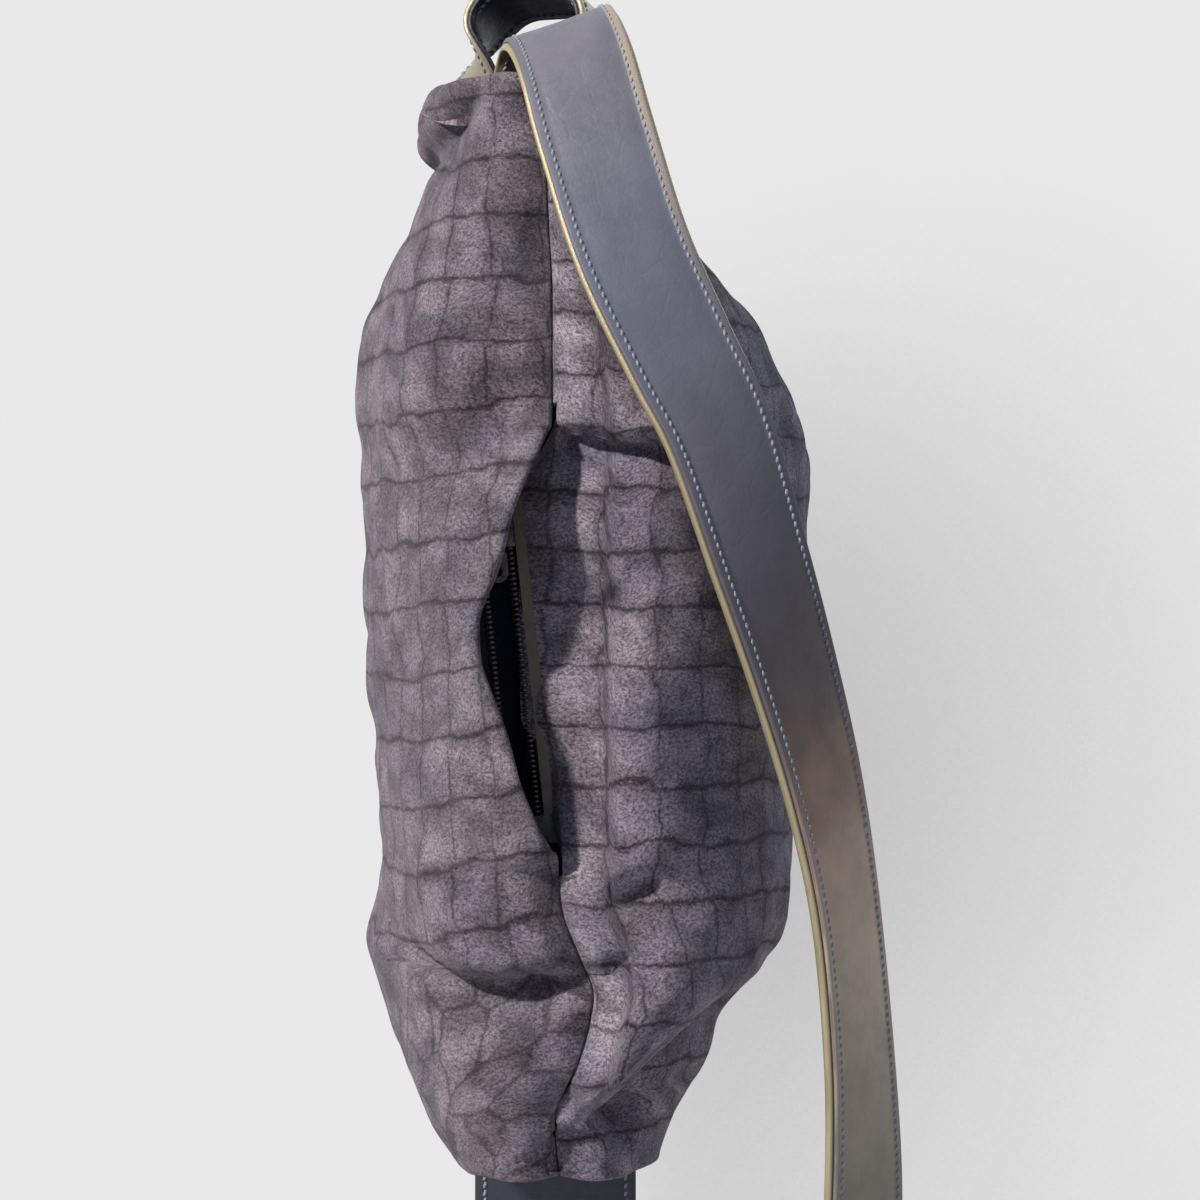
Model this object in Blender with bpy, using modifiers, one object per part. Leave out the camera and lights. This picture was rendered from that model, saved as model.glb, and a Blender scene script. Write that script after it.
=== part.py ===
"""A slouching suede backpack that hangs from its carry loop.

Metres, +Z up. The origin is the hang point, in the middle of the carry loop's underside.
+X is the near side, where the side pocket is, -Y is the front and +Y is the wearer's back.
"""
import math

import bmesh
import bpy
from mathutils import Matrix, Vector

# The bag's own sizes
BAG_HEIGHT = 0.367
LOOP_CLEARANCE = 0.025
BAG_WIDTH = 0.300
FRONT_DEPTH = 0.0625
BACK_DEPTH = 0.0935
SEAM_OFFSET = 0.0185
MOUTH_DROOP_HEIGHT = 0.016
MOUTH_DROOP_POWER = 1.5
PANEL_THICKNESS = 0.0018
SEAM_GAP = 0.0008
FIT_GAP = 0.0003

# The bottom and the lining
BASE_THICKNESS = 0.0020
BOARD_THICKNESS = 0.0020
BOARD_INSET = 0.0060
LINING_THICKNESS = 0.0008
LINING_INSET = 0.0075
LINING_POCKET_DEPTH = 0.0460
LINING_POCKET_LENGTH = 0.0800

# The gusset that closes the mouth, and its zip
GUSSET_DEPTH = 0.0200
GUSSET_THICKNESS = 0.0012
GUSSET_INSET = 0.0034
MOUTH_ZIP_LENGTH = 0.112
ZIP_TAB_LENGTH = 0.0240
ZIP_TAB_HALF_WIDTH = 0.0125
ZIP_TAB_THICKNESS = 0.0014

# Both zips
ZIP_SLOT = 0.0060
CHAIN_WIDTH = 0.0028
CHAIN_THICKNESS = 0.0024
TOOTH_LENGTH = 0.0012
TOOTH_PITCH = 0.0035
TAPE_WIDTH = 0.0095
TAPE_THICKNESS = 0.0008
SLIDER_LENGTH = 0.0100
SLIDER_UPPER_WIDTH = 0.0125
SLIDER_LOWER_WIDTH = 0.0105
SLIDER_PLATE = 0.0012
SLIDER_POST_WIDTH = 0.0030
SLIDER_POST_LENGTH = 0.0040
SLIDER_EAR_THICKNESS = 0.0012
PULL_PIN_RADIUS = 0.0008
PULL_BORE_RADIUS = 0.0011
PULL_KNUCKLE_RADIUS = 0.0019
PULL_KNUCKLE_WIDTH = 0.0044
PULL_THICKNESS = 0.0012
PULL_WIDTH = 0.0070
MOUTH_PULL_LENGTH = 0.0240
SIDE_PULL_LENGTH = 0.0160
PIN_SIDES = 16
PIN_SHARP_ANGLE = math.radians(40)

# The side pocket
POCKET_TOP = -0.1490
POCKET_HEIGHT = 0.1440
POCKET_GAPE_WIDTH = 0.0240
POCKET_LIFT_DEPTH = 0.0140
POCKET_LIFT_WIDTH = 0.0450
POCKET_RECESS_DEPTH = 0.0215
POCKET_SINK_DEPTH = 0.0180
POCKET_SINK_WIDTH = 0.0350
FACING_THICKNESS = 0.0012
FACING_FRONT_EDGE = -0.0290
FACING_REAR_EDGE = 0.0120
FACING_MARGIN = 0.0080
SIDE_ZIP_LENGTH = 0.100
SIDE_ZIP_Y = -0.0088
SIDE_ZIP_DROP = 0.0065
SIDE_ZIP_Z = POCKET_TOP - POCKET_HEIGHT / 2 - SIDE_ZIP_DROP
SIDE_ZIP_SLANT = math.radians(6)
WELT_WIDTH = 0.0034
WELT_THICKNESS = 0.0015
POUCH_DEPTH = 0.0150
POUCH_THICKNESS = 0.0008
POUCH_FRONT_EDGE = -0.0280
POUCH_REAR_EDGE = 0.0110

# Straps, carry loop and the tab under the base
STRAP_WIDTH = 0.038
STRAP_FACE_INSET = 0.0010
STRAP_FACE_THICKNESS = 0.0014
STRAP_LINING_THICKNESS = 0.0028
STRAP_LAYER_GAP = 0.0006
STRAP_CHAMFER = 0.0005
STRAP_JOINT_GAP = 0.0005
STRAP_TRIM_STATIONS = 5
LOOP_WIDTH = 0.034
LOOP_HALF_SPAN = 0.0195
LOOP_CORNER = 0.0130
LOOP_YAW = math.radians(22)
LOOP_OUTER_THICKNESS = 0.0018
LOOP_LINING_THICKNESS = 0.0014
TAB_WIDTH = 0.056
TAB_LENGTH = 0.036
TAB_THICKNESS = 0.0024
TAB_Y = 0.005

# How finely the soft surfaces are divided
PANEL_ROWS = 24
PANEL_COLUMNS = 18
LINING_COLUMNS = 28
LINING_ROWS = 12
ROUTE_STEPS = 3
CORNER_STEPS = 5

# The bag's section from base to rim: share of the height, of half the width, of the front and
# back reach, of the seam's set back, and the section's squareness as a power
PROFILE_SHARES = (
    (0.000, 0.86, 0.500, 0.445, 0.40, 3.2),
    (0.049, 0.91, 0.648, 0.520, 0.35, 2.9),
    (0.087, 0.95, 0.760, 0.610, 0.62, 2.7),
    (0.125, 0.98, 0.837, 0.677, 0.89, 2.5),
    (0.163, 1.00, 0.915, 0.810, 1.00, 2.4),
    (0.192, 1.00, 0.944, 0.893, 0.81, 2.4),
    (0.232, 1.00, 0.888, 0.920, 0.49, 2.4),
    (0.270, 1.00, 0.872, 0.930, 0.41, 2.4),
    (0.328, 1.00, 0.915, 0.941, 0.35, 2.4),
    (0.404, 1.00, 0.944, 0.957, 0.30, 2.4),
    (0.500, 1.00, 0.960, 0.973, 0.27, 2.4),
    (0.575, 1.00, 0.976, 0.980, 0.27, 2.4),
    (0.642, 0.98, 0.984, 0.984, 0.30, 2.4),
    (0.709, 0.94, 1.000, 0.888, 0.30, 2.4),
    (0.747, 0.91, 0.968, 0.820, 0.30, 2.4),
    (0.795, 0.86, 0.872, 0.668, 0.27, 2.4),
    (0.843, 0.81, 0.736, 0.535, 0.22, 2.3),
    (0.908, 0.74, 0.600, 0.430, 0.16, 2.2),
    (0.948, 0.71, 0.680, 0.374, 0.11, 2.2),
    (0.976, 0.70, 0.656, 0.353, 0.11, 2.2),
    (1.000, 0.70, 0.576, 0.337, 0.11, 2.2),
)
# How far the pocket's mouth gapes, down from its top: share of its height, share of the gape
GAPE_SHARES = (
    (0.00, 0.00),
    (0.10, 0.20),
    (0.16, 0.36),
    (0.39, 0.82),
    (0.46, 1.00),
    (0.54, 0.98),
    (0.65, 0.75),
    (0.81, 0.48),
    (0.92, 0.26),
    (1.00, 0.00),
)

# The near strap's route: share of its distance to the side, to the back and down to its lowest
# point, which hangs below the base. Then come the quarter turns that its face has tipped over
# since it lay on top of the shoulder, and those that it has turned from the side to the back
NEAR_STRAP_SIDE_DISTANCE = 0.144
NEAR_STRAP_BACK_DISTANCE = 0.1055
NEAR_STRAP_HANG_LENGTH = 0.111
NEAR_STRAP_SHARES = (
    (0.514, 0.010, 0.0850, -1.00, 0.00),
    (0.521, 0.013, 0.0620, -0.75, 0.00),
    (0.570, 0.030, 0.0405, 0.00, 0.00),
    (0.688, 0.066, 0.0440, 0.60, 0.00),
    (0.800, 0.120, 0.0740, 0.90, 0.02),
    (0.872, 0.185, 0.1240, 1.00, 0.05),
    (0.955, 0.290, 0.1960, 1.00, 0.12),
    (0.990, 0.430, 0.2610, 1.00, 0.21),
    (0.990, 0.545, 0.3100, 1.00, 0.28),
    (0.945, 0.660, 0.3830, 1.00, 0.38),
    (0.878, 0.770, 0.4560, 1.00, 0.48),
    (0.822, 0.870, 0.5330, 1.00, 0.56),
    (0.780, 0.940, 0.6110, 1.00, 0.62),
    (0.750, 0.985, 0.7060, 1.00, 0.61),
    (0.730, 1.000, 0.7900, 1.00, 0.55),
    (0.710, 0.985, 0.8500, 1.05, 0.52),
    (0.672, 0.925, 0.9080, 1.25, 0.50),
    (0.580, 0.780, 0.9700, 1.65, 0.50),
    (0.430, 0.540, 1.0000, 2.00, 0.46),
    (0.270, 0.280, 0.9750, 2.35, 0.34),
    (0.145, 0.110, 0.9300, 2.65, 0.18),
    (0.060, 0.058, 0.8902, 2.85, 0.05),
    (0.0215, 0.050, 0.8562, 2.99, 0.00),
    (0.0205, 0.047, 0.8282, 3.00, 0.00),
)
NEAR_SPLIT_ROWS = (7, 20)

# The far strap's route, in the same five columns, towards the other side
FAR_STRAP_SIDE_DISTANCE = 0.160
FAR_STRAP_BACK_DISTANCE = 0.010
FAR_STRAP_HANG_LENGTH = 0.136
FAR_STRAP_SHARES = (
    (0.463, 0.10, 0.0810, -1.00, 0.00),
    (0.468, 0.15, 0.0590, -0.75, 0.00),
    (0.509, 0.30, 0.0385, 0.00, 0.00),
    (0.612, 0.50, 0.0415, 0.60, 0.00),
    (0.700, 0.68, 0.0700, 0.90, 0.00),
    (0.764, 0.75, 0.1180, 1.00, 0.00),
    (0.856, 0.85, 0.1870, 1.00, 0.00),
    (0.925, 0.95, 0.2490, 1.00, 0.00),
    (0.975, 1.00, 0.3100, 1.00, 0.00),
    (1.000, 1.00, 0.3900, 1.00, 0.00),
    (1.000, 1.00, 0.4700, 1.00, 0.00),
    (1.000, 1.00, 0.5700, 1.00, 0.00),
    (0.990, 1.00, 0.6700, 1.00, 0.00),
    (0.965, 1.00, 0.7600, 1.00, 0.00),
    (0.925, 0.95, 0.8400, 1.10, 0.00),
    (0.845, 0.90, 0.9200, 1.35, 0.00),
    (0.680, 0.80, 0.9800, 1.75, 0.00),
    (0.480, 0.70, 1.0000, 2.05, 0.00),
    (0.290, 0.60, 0.9600, 2.40, 0.00),
    (0.160, 0.52, 0.9060, 2.65, 0.00),
    (0.062, 0.50, 0.8589, 2.85, 0.00),
    (0.0194, 0.50, 0.8179, 2.99, 0.00),
    (0.0185, 0.50, 0.7890, 3.00, 0.00),
)
FAR_SPLIT_ROWS = (7, 19)

# Places worked out from the sizes
RIM_Z = -LOOP_CLEARANCE
BASE_Z = RIM_Z - BAG_HEIGHT
HALF_WIDTH = BAG_WIDTH / 2
PANEL_BASE_Z = BASE_Z + BASE_THICKNESS + FIT_GAP
BOARD_Z = BASE_Z + BASE_THICKNESS + FIT_GAP
LINING_Z = BOARD_Z + BOARD_THICKNESS + FIT_GAP
GUSSET_Z = RIM_Z - GUSSET_DEPTH
MOUTH_ZIP_Z = GUSSET_Z - GUSSET_THICKNESS / 2 - FIT_GAP - TAPE_THICKNESS / 2
LINING_TOP_Z = GUSSET_Z - GUSSET_THICKNESS / 2 - FIT_GAP
CHAIN_OUTER = ZIP_SLOT / 2 + CHAIN_WIDTH
SIDE_FACING_X = HALF_WIDTH - POCKET_RECESS_DEPTH
SIDE_ZIP_X = SIDE_FACING_X + FIT_GAP + TAPE_THICKNESS / 2
STRAP_FOOT_Z = GUSSET_Z + GUSSET_THICKNESS / 2 + FIT_GAP + ZIP_TAB_THICKNESS + FIT_GAP
PIN_HEIGHT = CHAIN_THICKNESS / 2 + FIT_GAP + SLIDER_PLATE + FIT_GAP + PULL_KNUCKLE_RADIUS
BAND = STRAP_FACE_THICKNESS + STRAP_LAYER_GAP + STRAP_LINING_THICKNESS

COLOURS = {
    "suede": ((0.24, 0.20, 0.24), 0.95, 0.0),
    "navy_leather": ((0.05, 0.06, 0.10), 0.45, 0.0),
    "gold_leather": ((0.28, 0.23, 0.12), 0.40, 0.6),
    "tan_leather": ((0.24, 0.16, 0.10), 0.50, 0.0),
    "zip_tape": ((0.02, 0.02, 0.025), 0.90, 0.0),
    "zip_teeth": ((0.02, 0.02, 0.02), 0.35, 0.0),
    "zip_metal": ((0.30, 0.27, 0.22), 0.30, 1.0),
    "lining_cloth": ((0.05, 0.05, 0.07), 0.85, 0.0),
    "board": ((0.10, 0.10, 0.10), 0.80, 0.0),
}


def clear_scene():
    for item in list(bpy.data.objects):
        bpy.data.objects.remove(item, do_unlink=True)


def new_collection(name):
    collection = bpy.data.collections.new(name)
    bpy.context.scene.collection.children.link(collection)
    return collection


def material(name):
    """The named material, made the first time that it is asked for."""
    found = bpy.data.materials.get(name)
    if found:
        return found
    colour, roughness, metallic = COLOURS[name]
    made = bpy.data.materials.new(name)
    made.use_nodes = True
    shader = made.node_tree.nodes["Principled BSDF"]
    shader.inputs["Base Color"].default_value = (*colour, 1)
    shader.inputs["Roughness"].default_value = roughness
    shader.inputs["Metallic"].default_value = metallic
    return made


def mesh_object(name, shape, material_name, collection):
    """An object from a bmesh, with its faces turned outwards."""
    bmesh.ops.recalc_face_normals(shape, faces=shape.faces)
    mesh = bpy.data.meshes.new(name)
    shape.to_mesh(mesh)
    shape.free()
    made = bpy.data.objects.new(name, mesh)
    made.data.materials.append(material(material_name))
    collection.objects.link(made)
    return made


def box(name, low, high, material_name, collection, frame=None):
    """A box between two corners, in a frame of its own if one is given."""
    low = Vector(low)
    high = Vector(high)
    size = high - low
    shape = bmesh.new()
    bmesh.ops.create_cube(shape, size=1)
    bmesh.ops.scale(shape, vec=size, verts=shape.verts)
    bmesh.ops.translate(shape, vec=(low + high) / 2, verts=shape.verts)
    bmesh.ops.transform(shape, matrix=frame or Matrix(), verts=shape.verts)
    return mesh_object(name, shape, material_name, collection)


def flat_piece(name, outlines, thickness, material_name, collection, frame):
    """A flat outline, with holes if there is more than one, as thick as given and centred."""
    curve = bpy.data.curves.new(name, "CURVE")
    curve.dimensions = "2D"
    curve.fill_mode = "BOTH"
    curve.extrude = thickness / 2
    for points in outlines:
        spline = curve.splines.new("POLY")
        spline.points.add(len(points) - 1)
        for point, (across, along) in zip(spline.points, points):
            point.co = (across, along, 0, 1)
        spline.use_cyclic_u = True
    guide = bpy.data.objects.new(name + "_outline", curve)
    collection.objects.link(guide)
    guide.matrix_world = frame
    bpy.context.view_layer.update()
    evaluated = guide.evaluated_get(bpy.context.evaluated_depsgraph_get())
    mesh = bpy.data.meshes.new_from_object(evaluated)
    bpy.data.objects.remove(guide, do_unlink=True)
    shape = bmesh.new()
    shape.from_mesh(mesh)
    bmesh.ops.remove_doubles(shape, verts=shape.verts, dist=TOOTH_LENGTH / 100)
    bmesh.ops.transform(shape, matrix=frame, verts=shape.verts)
    bpy.data.meshes.remove(mesh)
    return mesh_object(name, shape, material_name, collection)


def cylinder(name, radius, length, material_name, collection, frame):
    """A cylinder along the frame's Y axis, centred on its origin."""
    shape = bmesh.new()
    bmesh.ops.create_cone(
        shape, cap_ends=True, segments=PIN_SIDES, radius1=radius, radius2=radius, depth=length
    )
    turn = frame @ Matrix.Rotation(math.radians(90), 4, "X")
    bmesh.ops.transform(shape, matrix=turn, verts=shape.verts)
    made = mesh_object(name, shape, material_name, collection)
    made.data.shade_smooth()
    made.data.set_sharp_from_angle(angle=PIN_SHARP_ANGLE)
    return made


def boolean(target, tool, operation, cutters):
    """Join the tool to the target, or cut it out, and put the tool with the cutters."""
    step = target.modifiers.new(operation.lower(), "BOOLEAN")
    step.operation = operation
    step.solver = "EXACT"
    step.object = tool
    for owner in list(tool.users_collection):
        owner.objects.unlink(tool)
    cutters.objects.link(tool)
    tool.hide_render = True
    tool.display_type = "WIRE"


def between(rows, share):
    """The values of a table at a share between its first row and its last one."""
    share = min(max(share, rows[0][0]), rows[-1][0])
    for low, high in zip(rows, rows[1:]):
        if share <= high[0]:
            part = (share - low[0]) / (high[0] - low[0])
            return [a + (b - a) * part for a, b in zip(low[1:], high[1:])]
    return list(rows[-1][1:])


def ease(share):
    """A smooth step from 0 to 1."""
    share = min(max(share, 0), 1)
    return share * share * (3 - 2 * share)


def section(share):
    """Half width, front depth, back depth, seam place and squareness at a share of the height."""
    width, front, back, seam, power = between(PROFILE_SHARES, share)
    seam_y = seam * SEAM_OFFSET
    return HALF_WIDTH * width, FRONT_DEPTH * front + seam_y, BACK_DEPTH * back - seam_y, seam_y, power


def surface(share, angle):
    """A point of the bag's outside. The angle turns from the near side towards the back."""
    width, front, back, seam_y, power = section(share)
    across = math.cos(angle)
    out = math.sin(angle)
    depth = back if out > 0 else front
    x = width * math.copysign(abs(across) ** (2 / power), across)
    y = seam_y + depth * math.copysign(abs(out) ** (2 / power), out)
    return Vector((x, y, BASE_Z + share * BAG_HEIGHT))


def top_share(angle):
    """The rim's share of the height, lower at the mouth's two ends."""
    return 1 - MOUTH_DROOP_HEIGHT / BAG_HEIGHT * abs(math.cos(angle)) ** MOUTH_DROOP_POWER


def edge_angle(share, offset, facing_back):
    """The angle at which the outside lies this far in front of or behind the seam."""
    width, front, back, seam_y, power = section(share)
    depth = back if facing_back else front
    return math.asin((offset / depth) ** (power / 2))


def gape(z):
    """How far the pocket's mouth is open at a height, as a share of its greatest gape."""
    down = (POCKET_TOP - z) / POCKET_HEIGHT
    if down <= 0 or down >= 1:
        return 0
    return between(GAPE_SHARES, down)[0]


def panel(name, facing_back, collection):
    """One suede panel, from the near seam round to the far one, and from the base to the rim."""
    shape = bmesh.new()
    base_share = (PANEL_BASE_Z - BASE_Z) / BAG_HEIGHT
    rows = []
    for row in range(PANEL_ROWS + 1):
        up = base_share + (1 - base_share) * row / PANEL_ROWS
        near_share = up * top_share(0)
        open_share = gape(BASE_Z + near_share * BAG_HEIGHT)
        inset = SEAM_GAP / 2
        if not facing_back:
            inset += POCKET_GAPE_WIDTH * open_share
        start = edge_angle(near_share, inset, facing_back)
        end = math.pi - edge_angle(near_share, SEAM_GAP / 2, facing_back)
        line = []
        for column in range(PANEL_COLUMNS + 1):
            angle = start + (end - start) * column / PANEL_COLUMNS
            if not facing_back:
                angle = -angle
            share = max(up * top_share(angle), base_share)
            point = surface(share, angle)
            if point.x > 0:
                point.x += pocket_shift(point, share, facing_back)
            line.append(shape.verts.new(point))
        rows.append(line)
    for lower, upper in zip(rows, rows[1:]):
        for a, b, c, d in zip(lower, lower[1:], upper[1:], upper):
            shape.faces.new((a, b, c, d) if facing_back else (d, c, b, a))
    made = mesh_from_surface(name, shape, "suede", collection)
    shell = made.modifiers.new("suede", "SOLIDIFY")
    shell.thickness = PANEL_THICKNESS
    shell.offset = -1
    return made


def mesh_from_surface(name, shape, material_name, collection):
    """An object from an open surface, whose faces already point outwards."""
    mesh = bpy.data.meshes.new(name)
    shape.to_mesh(mesh)
    shape.free()
    made = bpy.data.objects.new(name, mesh)
    made.data.materials.append(material(material_name))
    made.data.shade_smooth()
    collection.objects.link(made)
    return made


def pocket_shift(point, share, facing_back):
    """The front panel swells out beside the pocket's mouth, and the back panel sinks in."""
    seam_y = section(share)[3]
    strength = math.sqrt(gape(point.z))
    if facing_back:
        return -POCKET_SINK_DEPTH * strength * (1 - ease((point.y - seam_y) / POCKET_SINK_WIDTH))
    return POCKET_LIFT_DEPTH * strength * (1 - ease((seam_y - point.y) / POCKET_LIFT_WIDTH))


def ring(share, inset, columns):
    """The bag's section at a share of the height, drawn in by a constant distance."""
    angles = [2 * math.pi * (step + 0.5) / columns for step in range(columns)]
    points = [surface(share, angle) for angle in angles]
    drawn_in = []
    for index, point in enumerate(points):
        along = points[(index + 1) % columns] - points[index - 1]
        outward = Vector((along.y, -along.x, 0)).normalized()
        drawn_in.append(point - outward * inset)
    return drawn_in


def make_base(collection):
    """The flat suede bottom, and the stiff board that lies on it."""
    base = [(p.x, p.y) for p in ring(0, 0, LINING_COLUMNS)]
    middle = Matrix.Translation((0, 0, BASE_Z + BASE_THICKNESS / 2))
    flat_piece("base_panel", [base], BASE_THICKNESS, "suede", collection, middle)
    board = [(p.x, p.y) for p in ring(0, BOARD_INSET, LINING_COLUMNS)]
    middle = Matrix.Translation((0, 0, BOARD_Z + BOARD_THICKNESS / 2))
    flat_piece("base_board", [board], BOARD_THICKNESS, "board", collection, middle)


def make_lining(collection):
    """The lining: a bag inside the bag, drawn in beside the side pocket."""
    shape = bmesh.new()
    rows = []
    middle_z = POCKET_TOP - POCKET_HEIGHT / 2
    for row in range(LINING_ROWS + 1):
        z = LINING_Z + (LINING_TOP_Z - LINING_Z) * row / LINING_ROWS
        room = 1 - ease((abs(z - middle_z) - POCKET_HEIGHT / 2) / LINING_POCKET_LENGTH * 2)
        inset = max(LINING_INSET, BOARD_INSET if row == 0 else 0)
        line = []
        for point in ring((z - BASE_Z) / BAG_HEIGHT, inset, LINING_COLUMNS):
            point.z = z
            limit = HALF_WIDTH - LINING_POCKET_DEPTH
            if point.x > limit:
                point.x += (limit - point.x) * room
            line.append(shape.verts.new(point))
        rows.append(line)
    for lower, upper in zip(rows, rows[1:]):
        for index in range(LINING_COLUMNS):
            after = (index + 1) % LINING_COLUMNS
            shape.faces.new((lower[index], lower[after], upper[after], upper[index]))
    shape.faces.new(list(reversed(rows[0])))
    made = mesh_from_surface("lining", shape, "lining_cloth", collection)
    shell = made.modifiers.new("cloth", "SOLIDIFY")
    shell.thickness = LINING_THICKNESS
    shell.offset = -1


def zip_frame(origin, along, outward):
    """A frame whose X runs along a zip, Z out of it and Y across it."""
    x = Vector(along).normalized()
    z = Vector(outward).normalized()
    y = z.cross(x)
    frame = Matrix((x, y, z)).transposed().to_4x4()
    return Matrix.Translation(origin) @ frame


def chain_outline(length, side):
    """A row of teeth on its spine, on one side of a zip's centre line."""
    inner = ZIP_SLOT / 2 + TOOTH_LENGTH
    count = int(length / TOOTH_PITCH)
    pitch = length / count
    points = [(-length / 2, CHAIN_OUTER), (-length / 2, inner)]
    for tooth in range(count):
        middle = -length / 2 + pitch * (tooth + 0.5)
        start = middle - pitch / 4
        end = middle + pitch / 4
        points += [(start, inner), (start, ZIP_SLOT / 2), (end, ZIP_SLOT / 2), (end, inner)]
    points += [(length / 2, inner), (length / 2, CHAIN_OUTER)]
    return [(along, across * side) for along, across in points]


def make_zip(prefix, sides, length, frame, collection):
    """Two tapes, each with its row of teeth, with the open slot between them."""
    for side, word in sides:
        flat_piece(
            f"{prefix}_{word}_teeth", [chain_outline(length, side)], CHAIN_THICKNESS,
            "zip_teeth", collection, frame,
        )
        near = (CHAIN_OUTER + FIT_GAP) * side
        far = near + TAPE_WIDTH * side
        box(
            f"{prefix}_{word}_tape",
            (-length / 2, min(near, far), -TAPE_THICKNESS / 2),
            (length / 2, max(near, far), TAPE_THICKNESS / 2),
            "zip_tape", collection, frame,
        )


def make_slider(prefix, pull_length, frame, collection, cutters):
    """A zip slider and its pull, whose knuckle turns on the pin between the slider's ears."""
    half = SLIDER_LENGTH / 2
    under = CHAIN_THICKNESS / 2 + FIT_GAP
    upper = SLIDER_UPPER_WIDTH / 2
    lower = SLIDER_LOWER_WIDTH / 2
    slider = box(
        f"{prefix}_slider", (-half, -upper, under), (half, upper, under + SLIDER_PLATE),
        "zip_metal", collection, frame,
    )
    overlap = SLIDER_PLATE / 2
    post = box(
        f"{prefix}_post",
        (-SLIDER_POST_LENGTH / 2, -SLIDER_POST_WIDTH / 2, -under - overlap),
        (SLIDER_POST_LENGTH / 2, SLIDER_POST_WIDTH / 2, under + overlap),
        "zip_metal", collection, frame,
    )
    plate = box(
        f"{prefix}_lower", (-half, -lower, -under - SLIDER_PLATE), (half, lower, -under),
        "zip_metal", collection, frame,
    )
    boolean(slider, post, "UNION", cutters)
    boolean(slider, plate, "UNION", cutters)
    ear_inner = PULL_KNUCKLE_WIDTH / 2 + FIT_GAP
    ear_outer = ear_inner + SLIDER_EAR_THICKNESS
    ear_top = PIN_HEIGHT + PULL_PIN_RADIUS * 2
    for side in (-1, 1):
        edges = sorted((ear_inner * side, ear_outer * side))
        ear = box(
            f"{prefix}_ear_{side}",
            (-PULL_KNUCKLE_RADIUS, edges[0], under + overlap),
            (PULL_KNUCKLE_RADIUS, edges[1], ear_top),
            "zip_metal", collection, frame,
        )
        boolean(slider, ear, "UNION", cutters)
    axle = frame @ Matrix.Translation((0, 0, PIN_HEIGHT))
    pin_length = PULL_KNUCKLE_WIDTH + 2 * FIT_GAP + SLIDER_EAR_THICKNESS
    pin = cylinder(f"{prefix}_pin", PULL_PIN_RADIUS, pin_length, "zip_metal", collection, axle)
    boolean(slider, pin, "UNION", cutters)
    place_origin(slider, frame.translation)

    pull = cylinder(
        f"{prefix}_pull", PULL_KNUCKLE_RADIUS, PULL_KNUCKLE_WIDTH, "zip_metal", collection, axle
    )
    tongue = flat_piece(
        f"{prefix}_tongue", pull_outlines(pull_length), PULL_THICKNESS, "zip_metal", collection, axle
    )
    boolean(pull, tongue, "UNION", cutters)
    bore = cylinder(
        f"{prefix}_bore", PULL_BORE_RADIUS, PULL_KNUCKLE_WIDTH * 2, "zip_metal", collection, axle
    )
    boolean(pull, bore, "DIFFERENCE", cutters)
    place_origin(pull, axle.translation)
    return slider, pull


def pull_outlines(length):
    """A pull's tongue, towards the frame's -X: narrow at the knuckle, round at its end, holed."""
    half = PULL_WIDTH / 2
    neck = PULL_KNUCKLE_WIDTH / 2 - FIT_GAP
    neck_end = -2 * PULL_KNUCKLE_RADIUS
    outline = [(0, neck), (0, -neck), (neck_end, -neck), (neck_end - half, -half)]
    steps = 2 * CORNER_STEPS
    for step in range(steps + 1):
        turn = math.pi * step / steps
        outline.append((-length + half - half * math.sin(turn), -half * math.cos(turn)))
    outline += [(neck_end - half, half), (neck_end, neck)]
    hole = []
    for step in range(steps):
        turn = 2 * math.pi * step / steps
        hole.append((-length + half + half / 2 * math.cos(turn), half / 2 * math.sin(turn)))
    return [outline, hole]


def place_origin(item, point):
    """Move an object's origin to a point, and leave its shape where it is."""
    item.data.transform(Matrix.Translation(-Vector(point)))
    item.location = point


def mouth_gusset(name, side, collection):
    """A flat strip between the rim and the zip, on one side of the mouth."""
    share = (GUSSET_Z - BASE_Z) / BAG_HEIGHT
    edge = CHAIN_OUTER + FIT_GAP + TAPE_WIDTH / 3
    outer = [(p.x, p.y) for p in ring(share, GUSSET_INSET, LINING_COLUMNS * 2) if p.y * side > edge]
    outer.sort(key=lambda point: point[0])
    ends = [outer[0][0], outer[-1][0]]
    outline = outer + [(ends[1], edge * side), (ends[0], edge * side)]
    middle = Matrix.Translation((0, 0, GUSSET_Z))
    flat_piece(name, [outline], GUSSET_THICKNESS, "navy_leather", collection, middle)


def make_mouth(collection, cutters):
    """The gusset strips, the zip between them, and the tab at each of its ends."""
    mouth_gusset("mouth_front_gusset", -1, collection)
    mouth_gusset("mouth_back_gusset", 1, collection)
    frame = zip_frame((0, 0, MOUTH_ZIP_Z), (1, 0, 0), (0, 0, 1))
    make_zip("mouth_zip", ((-1, "front"), (1, "back")), MOUTH_ZIP_LENGTH, frame, collection)
    low = GUSSET_Z + GUSSET_THICKNESS / 2 + FIT_GAP
    start = MOUTH_ZIP_LENGTH / 2 - SLIDER_LENGTH / 2
    for side, word in ((1, "near"), (-1, "far")):
        ends = sorted((start * side, (start + ZIP_TAB_LENGTH) * side))
        box(
            f"mouth_zip_{word}_tab",
            (ends[0], -ZIP_TAB_HALF_WIDTH, low),
            (ends[1], ZIP_TAB_HALF_WIDTH, low + ZIP_TAB_THICKNESS),
            "navy_leather", collection,
        )
    travel_end = start - SLIDER_LENGTH
    rest = Matrix.Translation((-travel_end, 0, 0))
    make_slider("mouth_zip", MOUTH_PULL_LENGTH, rest @ frame @ turned(), collection, cutters)


def turned():
    """Half a turn about a zip's outward axis, so that its pull lies the other way."""
    return Matrix.Rotation(math.pi, 4, "Z")


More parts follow.
